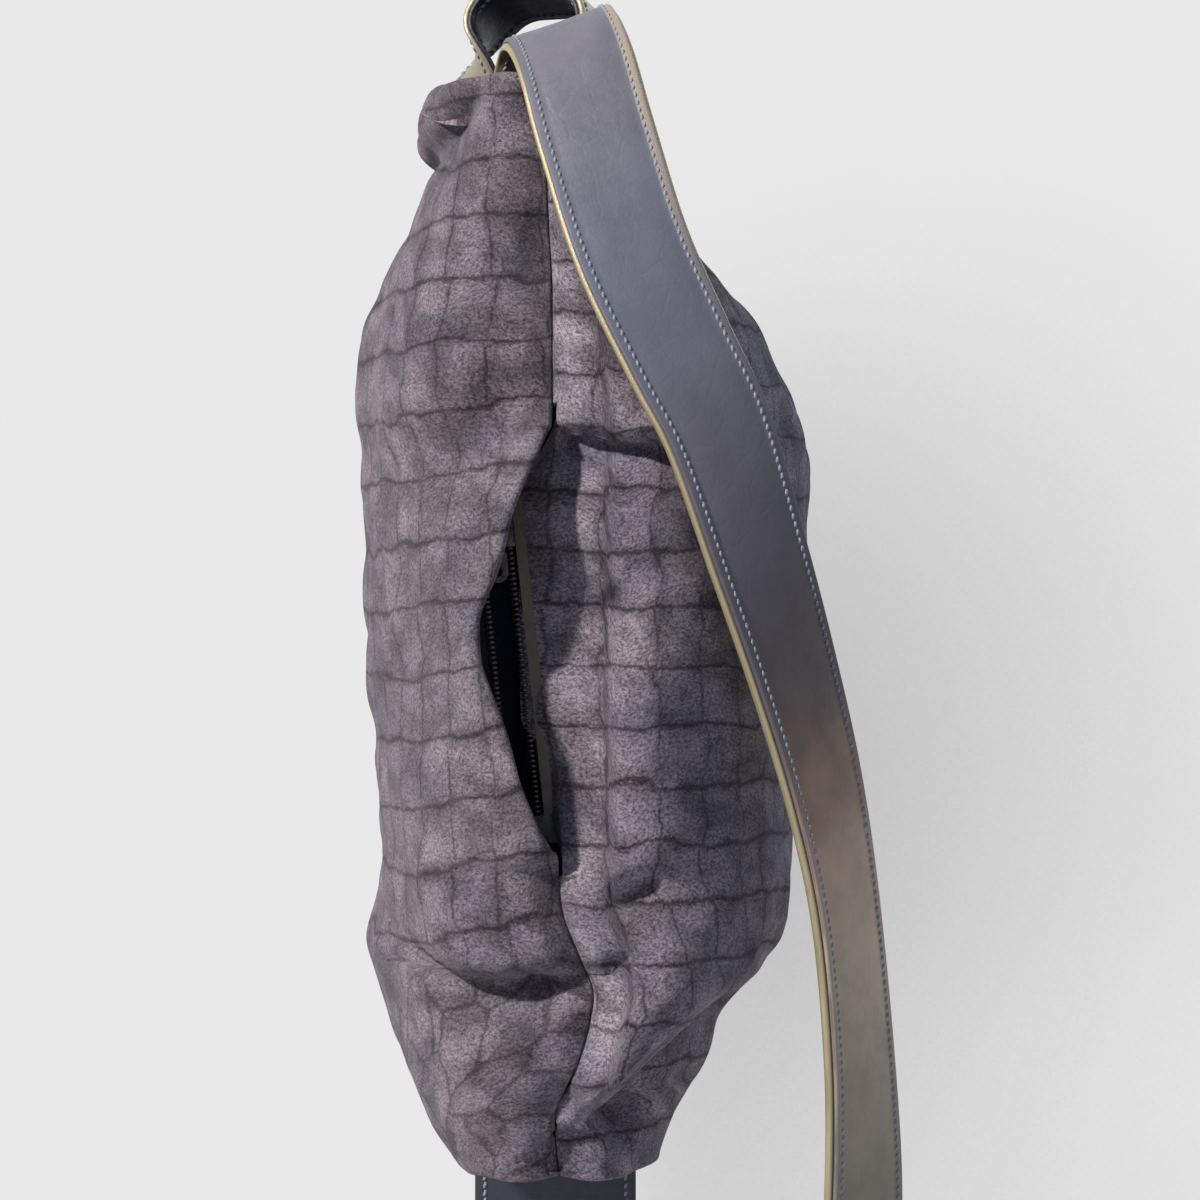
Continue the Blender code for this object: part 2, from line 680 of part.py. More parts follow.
def make_side_pocket(collection, cutters):
    """The side pocket: facing with a slot, zip, welt, slider, and the pouch behind them."""
    centre = Vector((SIDE_ZIP_X, SIDE_ZIP_Y, SIDE_ZIP_Z))
    along = (0, -math.sin(SIDE_ZIP_SLANT), math.cos(SIDE_ZIP_SLANT))
    frame = zip_frame(centre, along, (1, 0, 0))
    make_zip("side_zip", ((1, "front"), (-1, "rear")), SIDE_ZIP_LENGTH, frame, collection)

    half = SIDE_ZIP_LENGTH / 2 + FACING_MARGIN
    facing = box(
        "side_pocket_facing",
        (SIDE_FACING_X - FACING_THICKNESS, FACING_FRONT_EDGE, SIDE_ZIP_Z - half),
        (SIDE_FACING_X, FACING_REAR_EDGE, SIDE_ZIP_Z + half),
        "navy_leather", collection,
    )
    slot_edge = CHAIN_OUTER + FIT_GAP
    slot = box(
        "side_pocket_slot",
        (-SIDE_ZIP_LENGTH / 2 - FIT_GAP, -slot_edge, -FACING_THICKNESS * 2),
        (SIDE_ZIP_LENGTH / 2 + FIT_GAP, slot_edge, FACING_THICKNESS),
        "navy_leather", collection, frame,
    )
    boolean(facing, slot, "DIFFERENCE", cutters)

    welt_low = TAPE_THICKNESS / 2 + FIT_GAP
    welt_near = -SLIDER_UPPER_WIDTH / 2 - FIT_GAP
    box(
        "side_pocket_welt",
        (-SIDE_ZIP_LENGTH / 2, welt_near - WELT_WIDTH, welt_low),
        (SIDE_ZIP_LENGTH / 2, welt_near, welt_low + WELT_THICKNESS),
        "tan_leather", collection, frame,
    )
    travel_end = SIDE_ZIP_LENGTH / 2 - SLIDER_LENGTH
    rest = frame @ Matrix.Translation((travel_end, 0, 0))
    make_slider("side_zip", SIDE_PULL_LENGTH, rest, collection, cutters)

    mouth_x = SIDE_FACING_X - FACING_THICKNESS - FIT_GAP
    pouch = box(
        "side_pocket_pouch",
        (mouth_x - POUCH_DEPTH, POUCH_FRONT_EDGE, SIDE_ZIP_Z - half),
        (mouth_x, POUCH_REAR_EDGE, SIDE_ZIP_Z + half),
        "lining_cloth", collection,
    )
    wall = POUCH_THICKNESS
    hollow = box(
        "side_pouch_hollow",
        (mouth_x - POUCH_DEPTH + wall, POUCH_FRONT_EDGE + wall, SIDE_ZIP_Z - half + wall),
        (mouth_x + wall, POUCH_REAR_EDGE - wall, SIDE_ZIP_Z + half - wall),
        "lining_cloth", collection,
    )
    boolean(pouch, hollow, "DIFFERENCE", cutters)


def smooth_route(rows):
    """A smooth curve through the rows, with the same number of steps between each two."""
    fine = []
    last = len(rows) - 1
    for index in range(last):
        before = rows[max(index - 1, 0)]
        start = rows[index]
        end = rows[index + 1]
        after = rows[min(index + 2, last)]
        for step in range(ROUTE_STEPS):
            t = step / ROUTE_STEPS
            fine.append([
                0.5 * (2 * b + (c - a) * t + (2 * a - 5 * b + 4 * c - d) * t * t
                       + (3 * b - a - 3 * c + d) * t * t * t)
                for a, b, c, d in zip(before, start, end, after)
            ])
    fine.append(list(rows[last]))
    return fine


def strap_stations(shares, side_reach, back_reach, drop):
    """Point, direction along, direction across and face direction all along a strap."""
    fine = smooth_route(shares)
    sign = 1 if side_reach > 0 else -1
    points = [Vector((side_reach * r[0], back_reach * r[1], -drop * r[2])) for r in fine]
    stations = []
    for index, point in enumerate(points):
        before = points[max(index - 1, 0)]
        after = points[min(index + 1, len(points) - 1)]
        along = (after - before).normalized()
        tilt = fine[index][3] * math.pi / 2
        turn = fine[index][4] * math.pi / 2
        side = Vector((math.cos(turn) * sign, math.sin(turn), 0))
        facing = side * math.sin(tilt) + Vector((0, 0, 1)) * math.cos(tilt)
        across = along.cross(facing).normalized()
        stations.append((point, along, across, across.cross(along)))
    return stations


def ribbon(name, stations, width, low, high, cuts, material_name, collection):
    """A ribbon along its stations, between two distances from its middle surface.

    Each cut is a plane, as a point and a direction, that an end is trimmed to. The stations
    next to the end move with it, by less and less. Both sides are creased along the same
    diagonals, so that two layers stay apart where the ribbon twists.
    """
    shape = bmesh.new()
    half = width / 2
    chamfer = STRAP_CHAMFER
    corners = (
        (half, low + chamfer), (half, high - chamfer), (half - chamfer, high), (0, high),
        (chamfer - half, high), (-half, high - chamfer), (-half, low + chamfer),
        (chamfer - half, low), (0, low), (half - chamfer, low),
    )
    shifts = []
    for cut, (point, along, across, facing) in zip(cuts, (stations[0], stations[-1])):
        edge = [point + across * out + facing * up for out, up in corners]
        shifts.append([
            (cut[0] - corner).dot(cut[1]) / along.dot(cut[1]) if cut else 0 for corner in edge
        ])
    rings = []
    last = len(stations) - 1
    for index, (point, along, across, facing) in enumerate(stations):
        shares = [max(0, 1 - steps / STRAP_TRIM_STATIONS) for steps in (index, last - index)]
        line = []
        for (out, up), first_shift, last_shift in zip(corners, *shifts):
            shift = first_shift * shares[0] + last_shift * shares[1]
            line.append(shape.verts.new(point + across * out + facing * up + along * shift))
        rings.append(line)
    count = len(corners)
    for first, second in zip(rings, rings[1:]):
        for index in range(count):
            after = (index + 1) % count
            a, b, c, d = first[index], first[after], second[after], second[index]
            upper_side = index < count / 2
            shape.faces.new((a, b, c) if upper_side else (a, b, d))
            shape.faces.new((a, c, d) if upper_side else (b, c, d))
    shape.faces.new(rings[0])
    shape.faces.new(rings[-1])
    return mesh_object(name, shape, material_name, collection)


def layers(name, stations, cuts, collection):
    """A strap's navy face and gold lining, as two ribbons that lie on each other."""
    low = -BAND / 2
    seam = low + STRAP_LINING_THICKNESS
    lining = ribbon(
        f"{name}_lining", stations, STRAP_WIDTH, low, seam, cuts, "gold_leather", collection
    )
    face = ribbon(
        f"{name}_face", stations, STRAP_WIDTH - 2 * STRAP_FACE_INSET, seam + STRAP_LAYER_GAP,
        BAND / 2, cuts, "navy_leather", collection,
    )
    return lining, face


def make_strap(name, shares, reaches, split_rows, collection):
    """A shoulder strap: the part on the bag's shoulder, the part that swings, the sewn end."""
    stations = strap_stations(shares, *reaches)
    upper, lower = (row * ROUTE_STEPS for row in split_rows)
    top = stations[upper][0]
    bottom = stations[lower][0]
    axis = (top - bottom).normalized()
    half_gap = axis * STRAP_JOINT_GAP / 2
    foot = (Vector((0, 0, STRAP_FOOT_Z)), Vector((0, 0, 1)))
    layers(f"{name}_shoulder", stations[:upper + 1], (foot, (top + half_gap, axis)), collection)
    ends = ((top - half_gap, axis), (bottom - half_gap, axis))
    for layer in layers(name, stations[upper:lower + 1], ends, collection):
        place_origin(layer, top)
    ribbon(
        f"{name}_sewn_end", stations[lower:], STRAP_WIDTH, -BAND / 2, BAND / 2,
        ((bottom + half_gap, axis), None), "gold_leather", collection,
    )
    print(name, "length", round(route_length(stations), 4))
    print(name, "hinge top", [round(v, 5) for v in top], "axis", [round(v, 5) for v in axis])


def route_length(stations):
    return sum((b[0] - a[0]).length for a, b in zip(stations, stations[1:]))


def make_carry_loop(collection):
    """The arch over the mouth: gold leather outside, navy leather on the hand's side."""
    foot = GUSSET_Z + GUSSET_THICKNESS / 2 + FIT_GAP
    thickness = LOOP_LINING_THICKNESS + FIT_GAP + LOOP_OUTER_THICKNESS
    inner = [(-LOOP_HALF_SPAN, foot)]
    inner += [(-LOOP_HALF_SPAN, foot + (-LOOP_CORNER - foot) * share) for share in (1 / 3, 2 / 3)]
    for step in range(CORNER_STEPS + 1):
        turn = math.pi / 2 * step / CORNER_STEPS
        inner.append((
            -LOOP_HALF_SPAN + LOOP_CORNER * (1 - math.cos(turn)),
            -LOOP_CORNER + LOOP_CORNER * math.sin(turn),
        ))
    inner += [(-across, up) for across, up in reversed(inner)]
    yaw = Matrix.Rotation(-LOOP_YAW, 3, "Z")
    across = yaw @ Vector((1, 0, 0))
    stations = []
    for index, (reach, up) in enumerate(inner):
        before = inner[max(index - 1, 0)]
        after = inner[min(index + 1, len(inner) - 1)]
        point = yaw @ Vector((0, reach, up))
        along = (yaw @ Vector((0, after[0] - before[0], after[1] - before[1]))).normalized()
        stations.append((point, along, across, across.cross(along)))
    ribbon(
        "carry_loop_lining", stations, LOOP_WIDTH, 0, LOOP_LINING_THICKNESS, (None, None),
        "navy_leather", collection,
    )
    ribbon(
        "carry_loop_outer", stations, LOOP_WIDTH, LOOP_LINING_THICKNESS + FIT_GAP, thickness,
        (None, None), "gold_leather", collection,
    )


def make_base_tab(collection):
    """The tab under the base: two layers of leather that hold the straps' sewn ends."""
    top = BASE_Z - FIT_GAP
    inner = BAND + 3 * FIT_GAP
    for side, word in ((1, "near"), (-1, "far")):
        faces = sorted((inner * side, (inner + TAB_THICKNESS) * side))
        box(
            f"base_tab_{word}_layer",
            (faces[0], TAB_Y - TAB_WIDTH / 2, top - TAB_LENGTH),
            (faces[1], TAB_Y + TAB_WIDTH / 2, top),
            "navy_leather", collection,
        )


def main():
    clear_scene()
    collection = new_collection("backpack")
    cutters = new_collection("cutters")
    panel("front_panel", False, collection)
    panel("back_panel", True, collection)
    make_base(collection)
    make_lining(collection)
    make_mouth(collection, cutters)
    make_side_pocket(collection, cutters)
    make_carry_loop(collection)
    make_base_tab(collection)
    near = (NEAR_STRAP_SIDE_DISTANCE, NEAR_STRAP_BACK_DISTANCE, NEAR_STRAP_HANG_LENGTH - BASE_Z)
    make_strap("near_strap", NEAR_STRAP_SHARES, near, NEAR_SPLIT_ROWS, collection)
    far = (-FAR_STRAP_SIDE_DISTANCE, FAR_STRAP_BACK_DISTANCE, FAR_STRAP_HANG_LENGTH - BASE_Z)
    make_strap("far_strap", FAR_STRAP_SHARES, far, FAR_SPLIT_ROWS, collection)


main()
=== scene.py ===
import math

import bmesh
import bpy
from mathutils import Matrix, Vector, noise


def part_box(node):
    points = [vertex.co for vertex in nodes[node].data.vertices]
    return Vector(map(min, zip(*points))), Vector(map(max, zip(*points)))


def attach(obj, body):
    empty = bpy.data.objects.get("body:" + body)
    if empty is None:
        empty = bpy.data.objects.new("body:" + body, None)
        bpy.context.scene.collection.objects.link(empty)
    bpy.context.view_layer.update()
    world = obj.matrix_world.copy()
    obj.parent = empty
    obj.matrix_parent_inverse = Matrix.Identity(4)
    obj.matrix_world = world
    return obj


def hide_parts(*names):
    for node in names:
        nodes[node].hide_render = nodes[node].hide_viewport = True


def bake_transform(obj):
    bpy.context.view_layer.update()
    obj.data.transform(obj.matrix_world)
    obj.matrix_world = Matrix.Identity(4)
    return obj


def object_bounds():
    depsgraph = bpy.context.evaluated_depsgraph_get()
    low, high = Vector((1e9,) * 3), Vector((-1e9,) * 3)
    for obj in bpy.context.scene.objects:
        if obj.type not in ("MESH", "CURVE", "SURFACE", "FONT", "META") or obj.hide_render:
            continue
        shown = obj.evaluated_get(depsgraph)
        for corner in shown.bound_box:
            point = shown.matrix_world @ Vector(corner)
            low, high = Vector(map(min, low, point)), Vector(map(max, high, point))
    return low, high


# The looks of a slouching suede backpack that hangs from its carry loop, in metres and in the CAD
# model's frame: the origin is the hang point, +X the side with the pocket and -Y the front.

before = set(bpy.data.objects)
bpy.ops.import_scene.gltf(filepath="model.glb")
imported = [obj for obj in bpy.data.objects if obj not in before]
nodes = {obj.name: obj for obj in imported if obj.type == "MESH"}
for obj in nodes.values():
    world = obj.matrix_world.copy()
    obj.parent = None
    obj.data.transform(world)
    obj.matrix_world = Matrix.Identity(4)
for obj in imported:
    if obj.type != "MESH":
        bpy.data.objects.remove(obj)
cad_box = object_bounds()

# The bag's own sizes, as in the CAD model
BASE_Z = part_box("base_panel")[0].z
HALF_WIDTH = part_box("back_panel")[1].x
RIM_Z = -0.025
BAG_HEIGHT = RIM_Z - BASE_Z
FRONT_DEPTH = 0.0625
BACK_DEPTH = 0.0935
SEAM_OFFSET = 0.0185
RIM_DROOP = 0.016
RIM_DROOP_POWER = 1.5

# The side pocket
POCKET_TOP = -0.149
POCKET_HEIGHT = 0.144
POCKET_GAPE = 0.024
POCKET_LIFT = 0.0166
LIFT_WIDTH = 0.045
POCKET_SINK = 0.018
SINK_WIDTH = 0.035
FACING_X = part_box("side_pocket_facing")[1].x
SIDE_ZIP_SLANT = math.radians(6)

# How far the back panel's edge runs forward there, which is less between two heights low down, how
# far above the facing it lies, how far its end dips, and at what share of the gape it is all in
EDGE_REACH = 0.0115
LOW_EDGE_REACH = 0.0037
LOW_EDGE_SPAN = (-0.246, -0.26)
EDGE_CLEARANCE = 0.003
EDGE_DIP = 0.0022
EDGE_GAPE_SHARE = 0.4

# Hems, seams and how finely the suede is divided
SEAM_ROLL = 0.0014
POCKET_ROLL = 0.0018
ROLL_GAPE_SHARE = 1 / 3
RIM_ROLL = 0.0026
RIM_HEM = 0.012
SIDE_HEM = 0.006
BASE_HEM = 0.004
ROWS = 220
COLUMNS = 220
ROLL_STEPS = 5

# The printed squares. The front's lines fall away from the seam over a reach, most at the base
FRONT_CELL = (0.0185, 0.02)
BACK_CELL = (0.018, 0.0185)
FRONT_LINE_Z = -0.146
BACK_LINE_Z = -0.156
LINE_SLOPE = 0.24
LINE_SLOPE_REACH = 0.06

# The bag's section from base to rim: share of the height, of half the width, of the front and
# back depth, of the seam's offset, and the section's squareness as a power
PROFILE_SHARES = (
    (0, 0.86, 0.5, 0.445, 0.4, 3.2), (0.049, 0.91, 0.648, 0.52, 0.35, 2.9),
    (0.087, 0.95, 0.76, 0.61, 0.62, 2.7), (0.125, 0.98, 0.837, 0.677, 0.89, 2.5),
    (0.163, 1, 0.915, 0.81, 1, 2.4), (0.192, 1, 0.944, 0.893, 0.81, 2.4),
    (0.232, 1, 0.888, 0.92, 0.49, 2.4), (0.27, 1, 0.872, 0.93, 0.41, 2.4),
    (0.328, 1, 0.915, 0.941, 0.35, 2.4), (0.404, 1, 0.944, 0.957, 0.3, 2.4),
    (0.5, 1, 0.96, 0.973, 0.27, 2.4), (0.575, 1, 0.976, 0.98, 0.27, 2.4),
    (0.642, 0.98, 0.984, 0.984, 0.3, 2.4), (0.709, 0.94, 1, 0.888, 0.3, 2.4),
    (0.747, 0.91, 0.968, 0.82, 0.3, 2.4), (0.795, 0.86, 0.872, 0.668, 0.27, 2.4),
    (0.843, 0.81, 0.736, 0.535, 0.22, 2.3), (0.908, 0.74, 0.6, 0.43, 0.16, 2.2),
    (0.948, 0.71, 0.68, 0.374, 0.11, 2.2), (0.976, 0.7, 0.656, 0.353, 0.11, 2.2),
    (1, 0.7, 0.576, 0.337, 0.11, 2.2),
)
# How far the pocket's mouth gapes, down from its top: share of its height, share of the gape
GAPE_SHARES = (
    (0.0, 0.0), (0.1, 0.2), (0.16, 0.36), (0.39, 0.82), (0.46, 1.0),
    (0.54, 0.98), (0.65, 0.75), (0.81, 0.46), (0.9, 0.25), (0.96, 0.09), (1.0, 0.0),
)
CURVE_STEPS = 6


def in_metres(value):
    """A number, or a table of numbers, that is given in millimetres."""
    return [in_metres(part) for part in value] if isinstance(value, tuple) else value / 1000


# Folds on the near side, in millimetres, with their places towards the back and up. At a step the
# cloth above the line stands out and the cloth below it falls in: both depths, then both widths
STEPS = in_metres((
    # The overhang above the front's lowest part
    (6, 12, 17, 13.5, (
        (-43.5, -314.4), (-32.8, -321.9), (-22.8, -326), (-10.9, -327), (1.7, -324.4),
        (14.9, -323.8),
    )),
    # The fold at the back's foot
    (11, 25, 20, 18, (
        (15.1, -371.9), (20.5, -368.4), (38.8, -351.4), (52, -340.7), (60.8, -334.4),
        (67.1, -327.1),
    )),
    # The brow over the pocket
    (3, 9.5, 10, 13, ((6, -154.5), (25, -158), (56, -161))),
))
# A crease is a soft valley, or a soft ridge where its depth is negative: depth and width
CREASES = in_metres((
    # The pinch of the lip
    (5.5, 4.8, ((-17.5, -40.2), (-20.2, -45), (-24.3, -52.2), (-29.1, -60), (-33.1, -66))),
    # Under the rim
    (1.8, 4, ((-12.6, -53.3), (-3.8, -54.6), (4.3, -57.2))),
    # The lip's lobe
    (-1, 8.5, ((-29, -35), (-34.5, -48))),
    # The front's swell and the slack below it
    (-6, 10.5, ((-56, -145), (-33, -140), (-14, -131))),
    (8.5, 11, ((-60, -172), (-44, -170), (-30.4, -166.5), (-15, -159), (-4.3, -142), (1, -120))),
    # Beside the seam and beside the strap
    (3.8, 7.2, ((-0.5, -81.8), (-0.2, -100.9), (-1.1, -116.8))),
    (8, 8.5, ((11, -70), (18, -92), (26.2, -115.4), (36, -140))),
    # A ridge and a hollow beside the pocket
    (-4.2, 9.5, ((-25.7, -202.8), (-23.2, -237.1), (-25.7, -265.2), (-29.4, -283.9))),
    (4.5, 9, ((-40, -210), (-42, -240), (-40, -270))),
    # A dent and a ridge behind the pocket
    (5.5, 7.5, ((20.5, -204.3), (27.4, -212.7), (36.1, -215.9))),
    (-4.5, 7.5, ((16.8, -168.4), (20.5, -184), (15.8, -205.9))),
    # Low on the back, and beside the seam there
    (5.2, 4.2, ((23.6, -304.8), (31.5, -299.4), (41.9, -296.3))),
    (3.6, 2.8, ((19.9, -323), (26.2, -321.7), (33.7, -320.5))),
    # Puckers at the base's seam
    (1.6, 4, ((11.7, -372.8), (14.2, -382.2), (17.4, -389.2))),
    (1.4, 5, ((-20.4, -347.6), (-11, -358.6), (-9.4, -372.8))),
))
# How much of a fold is left at its ends, and the shares of its run in which it grows and fades
STEP_END_SHARES = (0.2, 0.16, 0.2)
CREASE_END_SHARES = (0.15, 0.35, 0.35)
# How far from its line a step has grown, above and below
STEP_STARTS = (0.004, 0.0016)
NEAR_REACH = 0.05

# The valley along the seam, which ends at a share of the pocket's gape
VALLEY_DEPTH = 0.004
VALLEY_WIDTH = 0.0065
VALLEY_GAPE_SHARE = 0.25
# Slack all over the suede: height and waves in a metre. The widest is calmer on the near side
SLACK = (0.0024, 17)
WAVE = (0.0022, 34)
WAVE_SQUASH = 1.7
PUCKER = (0.0005, 95)
NEAR_CALM_SHARE = 0.4

# The front lip hangs over like a collar, and climbs towards the seam. Its top drops and draws in
# between two heights, over a swell and a tuck: height, depth and width
LIP_SPAN_Y = (-0.01, -0.034)
LIP_CLIMB = 0.8
LIP_DROP = 0.0065
LIP_DROP_SPAN = (-0.09, -0.03)
LIP_DRAW_IN = 0.0075
LIP_DRAW_IN_SPAN = (-0.038, RIM_Z)
LIP_SWELL = (-0.042, 0.001, 0.008)
LIP_TUCK = (-0.056, -0.003, 0.006)


def between(rows, share):
    """A table's values at a share."""
    share = min(max(share, rows[0][0]), rows[-1][0])
    for low, high in zip(rows, rows[1:]):
        if share <= high[0]:
            part = (share - low[0]) / (high[0] - low[0])
            return [a + (b - a) * part for a, b in zip(low[1:], high[1:])]
    return list(rows[-1][1:])


def ease(share):
    """A smooth step from 0 to 1."""
    share = min(max(share, 0), 1)
    return share * share * (3 - 2 * share)


def smooth(value, start, end):
    """0 before the start, 1 beyond the end and a smooth step between them."""
    return ease((value - start) / (end - start))


def smooth_route(rows, steps):
    """A smooth curve through the rows, with so many steps between each two."""
    fine = []
    last = len(rows) - 1
    for index in range(last):
        before = rows[max(index - 1, 0)]
        after = rows[min(index + 2, last)]
        for step in range(steps):
            t = step / steps
            fine.append([
                0.5 * (2 * b + (c - a) * t + (2 * a - 5 * b + 4 * c - d) * t * t
                       + (3 * b - a - 3 * c + d) * t * t * t)
                for a, b, c, d in zip(before, rows[index], rows[index + 1], after)
            ])
    fine.append(list(rows[last]))
    return fine


SECTION_SHARES = smooth_route(PROFILE_SHARES, CURVE_STEPS)
FINE_GAPE_SHARES = smooth_route(GAPE_SHARES, CURVE_STEPS)


# Shader graphs


def tint(colour, level=1):
    """A colour for a socket, lighter or darker."""
    return (*(level * part for part in colour), 1)


class Graph:
    """A tree of shader nodes and short ways to add to it."""

    def __init__(self, tree):
        self.tree = tree

    def node(self, kind, values=None, **settings):
        made = self.tree.nodes.new("ShaderNode" + kind)
        for key, value in settings.items():
            setattr(made, key, value)
        for key, value in (values or {}).items():
            self.plug(value, made.inputs[key])
        return made

    def plug(self, value, socket):
        if isinstance(value, bpy.types.NodeSocket):
            self.tree.links.new(value, socket)
        else:
            socket.default_value = value

    def math(self, operation, a, b=0.0):
        return self.node("Math", {0: a, 1: b}, operation=operation).outputs[0]

    def add(self, a, b):
        return self.math("ADD", a, b)

    def less(self, a, b):
        return self.math("SUBTRACT", a, b)

    def times(self, a, b):
        return self.math("MULTIPLY", a, b)

    def vector(self, operation, a, b=(0, 0, 0)):
        made = self.node("VectorMath", {0: a}, operation=operation)
        self.plug(b, made.inputs["Scale" if operation == "SCALE" else 1])
        return made.outputs[0]

    def parts(self, vector):
        return self.node("SeparateXYZ", {0: vector}).outputs

    def noise(self, place, scale, detail=2.0, roughness=0.5, output="Fac"):
        values = {"Vector": place, "Scale": scale, "Detail": detail, "Roughness": roughness}
        return self.node("TexNoise", values).outputs[output]

    def cells(self, place, scale, feature):
        values = {"Vector": place, "Scale": scale}
        return self.node("TexVoronoi", values, feature=feature).outputs["Distance"]

    def between(self, value, low, high, to_low=0.0, to_high=1.0, smooth=True):
        values = {"Value": value, "From Min": low, "From Max": high, "To Min": to_low, "To Max": to_high}
        kind = "SMOOTHSTEP" if smooth else "LINEAR"
        return self.node("MapRange", values, interpolation_type=kind).outputs["Result"]

    def mix(self, share, a, b):
        made = self.node("Mix", data_type="RGBA")
        self.plug(share, made.inputs["Factor"])
        self.plug(a, made.inputs[6])
        self.plug(b, made.inputs[7])
        return made.outputs[2]

    def ramp(self, value, stops):
        made = self.node("ValToRGB", {"Fac": value})
        ramp = made.color_ramp
        while len(ramp.elements) < len(stops):
            ramp.elements.new(1)
        for element, (place, colour) in zip(ramp.elements, stops):
            element.position = place
            element.color = tint(colour)
        return made.outputs["Color"]

    def attribute(self, name):
        return self.node("Attribute", attribute_name=name).outputs["Vector"]

    def place(self):
        return self.node("TexCoord").outputs["Object"]

    def bump(self, height, strength, distance, below=None):
        values = {"Height": height, "Strength": strength, "Distance": distance}
        if below:
            values["Normal"] = below
        return self.node("Bump", values).outputs["Normal"]

    def seen_rays(self):
        """1 for the rays that show a background: to the camera, in a reflection or through glass."""
        path = self.node("LightPath").outputs
        seen = self.math("MAXIMUM", path["Is Camera Ray"], path["Is Glossy Ray"])
        return self.math("MAXIMUM", seen, path["Is Transmission Ray"])

    def mix_out(self, share, a, b, output):
        """Send a mix of two shaders to the graph's output."""
        mix = self.node("MixShader", {0: share, 1: a.outputs[0], 2: b.outputs[0]})
        self.plug(mix.outputs[0], self.tree.nodes[output].inputs["Surface"])


class Shader(Graph):
    """A material on one principled shader."""

    def __init__(self, name):
        self.material = bpy.data.materials.new(name)
        self.material.use_nodes = True
        super().__init__(self.material.node_tree)
        self.surface = self.tree.nodes["Principled BSDF"]

    def finish(self, **sockets):
        names = {
            "colour": "Base Color", "roughness": "Roughness", "metallic": "Metallic",
            "normal": "Normal", "specular": "Specular IOR Level", "sheen": "Sheen Weight",
            "sheen_roughness": "Sheen Roughness", "sheen_tint": "Sheen Tint",
        }
        for key, value in sockets.items():
            self.plug(value, self.surface.inputs[names[key]])
        return self.material


# The print's lines stray twice: scale, detail and reach. Then how far rows are shifted, and how wide
# the lines, their frayed part, their halo and the change to rounded cells are
PRINT_STRAYS = ((38, 2, 0.0105), (210, 3, 0.0022))
PRINT_JITTER_SHARE = 0.16
PRINT_LINE = 0.0007
PRINT_FRAY = (0.0004, 0.0021)
PRINT_HALO = 0.0045
PRINT_CHANGE = 0.012
PRINT_COLOUR = (0.03, 0.021, 0.026)
HALO_COLOUR = (0.065, 0.054, 0.068)
SUEDE_TONES = (
    (0.32, (0.125, 0.111, 0.139)),
    (0.5, (0.182, 0.156, 0.182)),
    (0.7, (0.244, 0.203, 0.224)),
)


